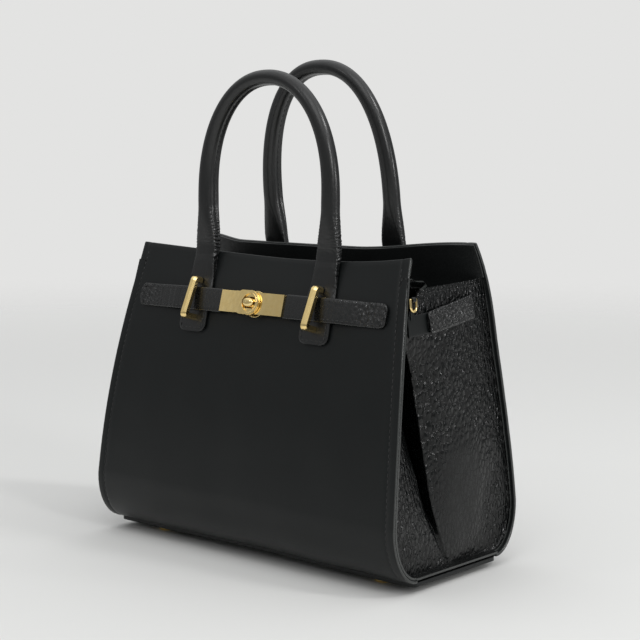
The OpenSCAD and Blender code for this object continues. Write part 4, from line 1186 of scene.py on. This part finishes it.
# The stitched hem along each gusset's top edge
hem = {"row": -3, "ends": 8}
hems = []
for left in (False, True):
    grid = gussetGrid(left)
    normals = np.cross(np.gradient(grid, axis=1)[hem["row"]], np.gradient(grid, axis=0)[hem["row"]])
    normals /= np.linalg.norm(normals, axis=1)[:, None]
    hems.append((grid[hem["row"]][hem["ends"]:-hem["ends"]], normals[hem["ends"]:-hem["ends"]]))
stitchRun("gussetHemStitches", hems, "bag")
print("side straps made")

# Camera, floor and light

# The camera's turn in degrees, its place in metres, and its focal length in pixels of a picture 640 wide
view = {"azimuth": 40.94, "elevation": 6.23, "roll": 0.38, "place": (0.7599, -0.8535, 0.2977),
        "focalPixels": 1525.2, "pictureWidth": 640, "sensorWidth": 36, "nearest": 0.02, "farthest": 100}


def makeCamera():
    azimuth, elevation, roll = (math.radians(view[key]) for key in ("azimuth", "elevation", "roll"))
    right = Vector((math.cos(azimuth), math.sin(azimuth), 0))
    level = Vector((math.sin(azimuth), -math.cos(azimuth), 0))
    back = level*math.cos(elevation) + Vector((0, 0, math.sin(elevation)))
    up = back.cross(right)
    rolledRight = right*math.cos(roll) + up*math.sin(roll)
    rolledUp = up*math.cos(roll) - right*math.sin(roll)
    data = bpy.data.cameras.new("camera")
    data.sensor_width = view["sensorWidth"]
    data.lens = view["focalPixels"]/view["pictureWidth"]*view["sensorWidth"]
    data.clip_start, data.clip_end = view["nearest"], view["farthest"]
    camera = bpy.data.objects.new("camera", data)
    bpy.context.scene.collection.objects.link(camera)
    matrix = camera.matrix_world.copy()
    for column, axis in enumerate((rolledRight, rolledUp, back, Vector(view["place"]))):
        for row in range(3):
            matrix[row][column] = axis[row]
    camera.matrix_world = matrix
    bpy.context.scene.camera = camera


makeCamera()


# Distances from the bag's middle in metres: the floor fades into the backdrop, out to "reach"
floorLook = {"tone": "#DCDCDA", "rough": 0.7, "gloss": 0.2, "fadeFrom": 0.55, "fadeTo": 2.6, "sides": 48,
             "circles": (0.001, 0.4, 0.9, 1.8, 3.5)}


def makeFloor():
    # Matt painted board, with hardly any gloss
    material, tree, place = newMaterial("paleFloor")
    reach = addNode(tree, "ShaderNodeVectorMath", {"operation": "LENGTH"}, {0: place}).outputs["Value"]
    fade = addNode(tree, "ShaderNodeMapRange",
                   {"From Min": floorLook["fadeFrom"], "From Max": floorLook["fadeTo"],
                    "interpolation_type": "SMOOTHSTEP"}, {"Value": reach}).outputs[0]
    paint = addNode(tree, "ShaderNodeBsdfPrincipled",
                    {"Base Color": linear(floorLook["tone"]), "Roughness": floorLook["rough"],
                     "Specular IOR Level": floorLook["gloss"]})
    clear = addNode(tree, "ShaderNodeBsdfTransparent")
    mix = addNode(tree, "ShaderNodeMixShader", {}, {0: fade, 1: paint.outputs[0], 2: clear.outputs[0]})
    addNode(tree, "ShaderNodeOutputMaterial", links={"Surface": mix.outputs[0]})
    sides, circles = floorLook["sides"], floorLook["circles"]
    turns = [2*math.pi*k/sides for k in range(sides)]
    points = [(r/mm*math.cos(a), r/mm*math.sin(a), 0) for r in circles for a in turns]
    faces = gridFaces(len(circles), sides, closed=True) + [tuple(range(sides))]
    newPiece("floor", points, faces, [material])


makeFloor()


# A pale room, darkest on the camera's side and brightest overhead, in front of an even backdrop
room = {"backdrop": "#E3E3E2", "light": "#FDFEFF", "darkWay": (-0.66, -0.75, 0.05), "low": 0.24, "side": 0.33,
        "sideFrom": -0.5, "sideTo": 0.9, "ceiling": 1.0, "ceilingFrom": 0.25, "ceilingTo": 0.85}


def makeWorld():
    world = bpy.data.worlds.new("studio")
    bpy.context.scene.world = world
    world.use_nodes = True
    tree = world.node_tree
    tree.nodes.clear()
    way = addNode(tree, "ShaderNodeTexCoord").outputs["Generated"]
    facing = addNode(tree, "ShaderNodeVectorMath", {"operation": "DOT_PRODUCT", 1: room["darkWay"]}, {0: way})
    walls = addNode(tree, "ShaderNodeMapRange",
                    {"From Min": room["sideFrom"], "From Max": room["sideTo"], "To Min": room["low"],
                     "To Max": room["side"], "interpolation_type": "SMOOTHSTEP"},
                    {"Value": facing.outputs["Value"]}).outputs[0]
    height = addNode(tree, "ShaderNodeSeparateXYZ", links={0: way}).outputs[2]
    above = addNode(tree, "ShaderNodeMapRange",
                    {"From Min": room["ceilingFrom"], "From Max": room["ceilingTo"],
                     "interpolation_type": "SMOOTHSTEP"}, {"Value": height}).outputs[0]
    strength = addNode(tree, "ShaderNodeMix", {"data_type": "FLOAT", 3: room["ceiling"]},
                       {0: above, 2: walls}).outputs[0]
    light = addNode(tree, "ShaderNodeBackground", {"Color": linear(room["light"])}, {"Strength": strength})
    seen = addNode(tree, "ShaderNodeBackground", {"Color": linear(room["backdrop"]), "Strength": 1.0})
    eye = addNode(tree, "ShaderNodeLightPath").outputs["Is Camera Ray"]
    mix = addNode(tree, "ShaderNodeMixShader", {}, {0: eye, 1: light.outputs[0], 2: seen.outputs[0]})
    addNode(tree, "ShaderNodeOutputWorld", links={"Surface": mix.outputs[0]})


makeWorld()
bpy.context.scene.view_settings.view_transform = "Standard"


# Place, aim and size in metres, power in watts
softboxes = {
    "backLight": {"place": (2.1, 0.95, 0.6), "aim": (0, 0, 0.15), "size": (0.16, 0.22), "power": 5},
    "topLight": {"place": (0.0, 0.3, 2.6), "aim": (0, 0, 0.1), "size": (2.2, 2.2), "power": 4},
    "rightLight": {"place": (2.3, -0.5, 1.2), "aim": (0, 0, 0.2), "size": (0.3, 0.7), "power": 11},
    "upperLight": {"place": (1.8, 0.55, 2.1), "aim": (0, 0, 0.25), "size": (0.3, 0.3), "power": 12},
    "fillLight": {"place": (1.0, -1.4, 2.3), "aim": (0, -0.2, 0), "size": (1.5, 1.5), "power": 10},
    "cardLight": {"place": (-1.92, -1.66, 0.9), "aim": (0, -0.05, 0.19), "size": (0.35, 0.4), "power": 0.09},
    "sparkLight": {"place": (-0.7, -2.0, 1.54), "aim": (0.05, -0.05, 0.19), "size": (0.15, 0.15),
                   "power": 1.6}}


def makeSoftbox(name, box):
    data = bpy.data.lights.new(name, "AREA")
    data.shape = "RECTANGLE"
    data.size, data.size_y = box["size"]
    data.energy = box["power"]
    lamp = bpy.data.objects.new(name, data)
    bpy.context.scene.collection.objects.link(lamp)
    lamp.location = box["place"]
    lamp.rotation_euler = (Vector(box["aim"]) - Vector(box["place"])).to_track_quat("-Z", "Y").to_euler()


for name, box in softboxes.items():
    makeSoftbox(name, box)
print("camera and lights made")
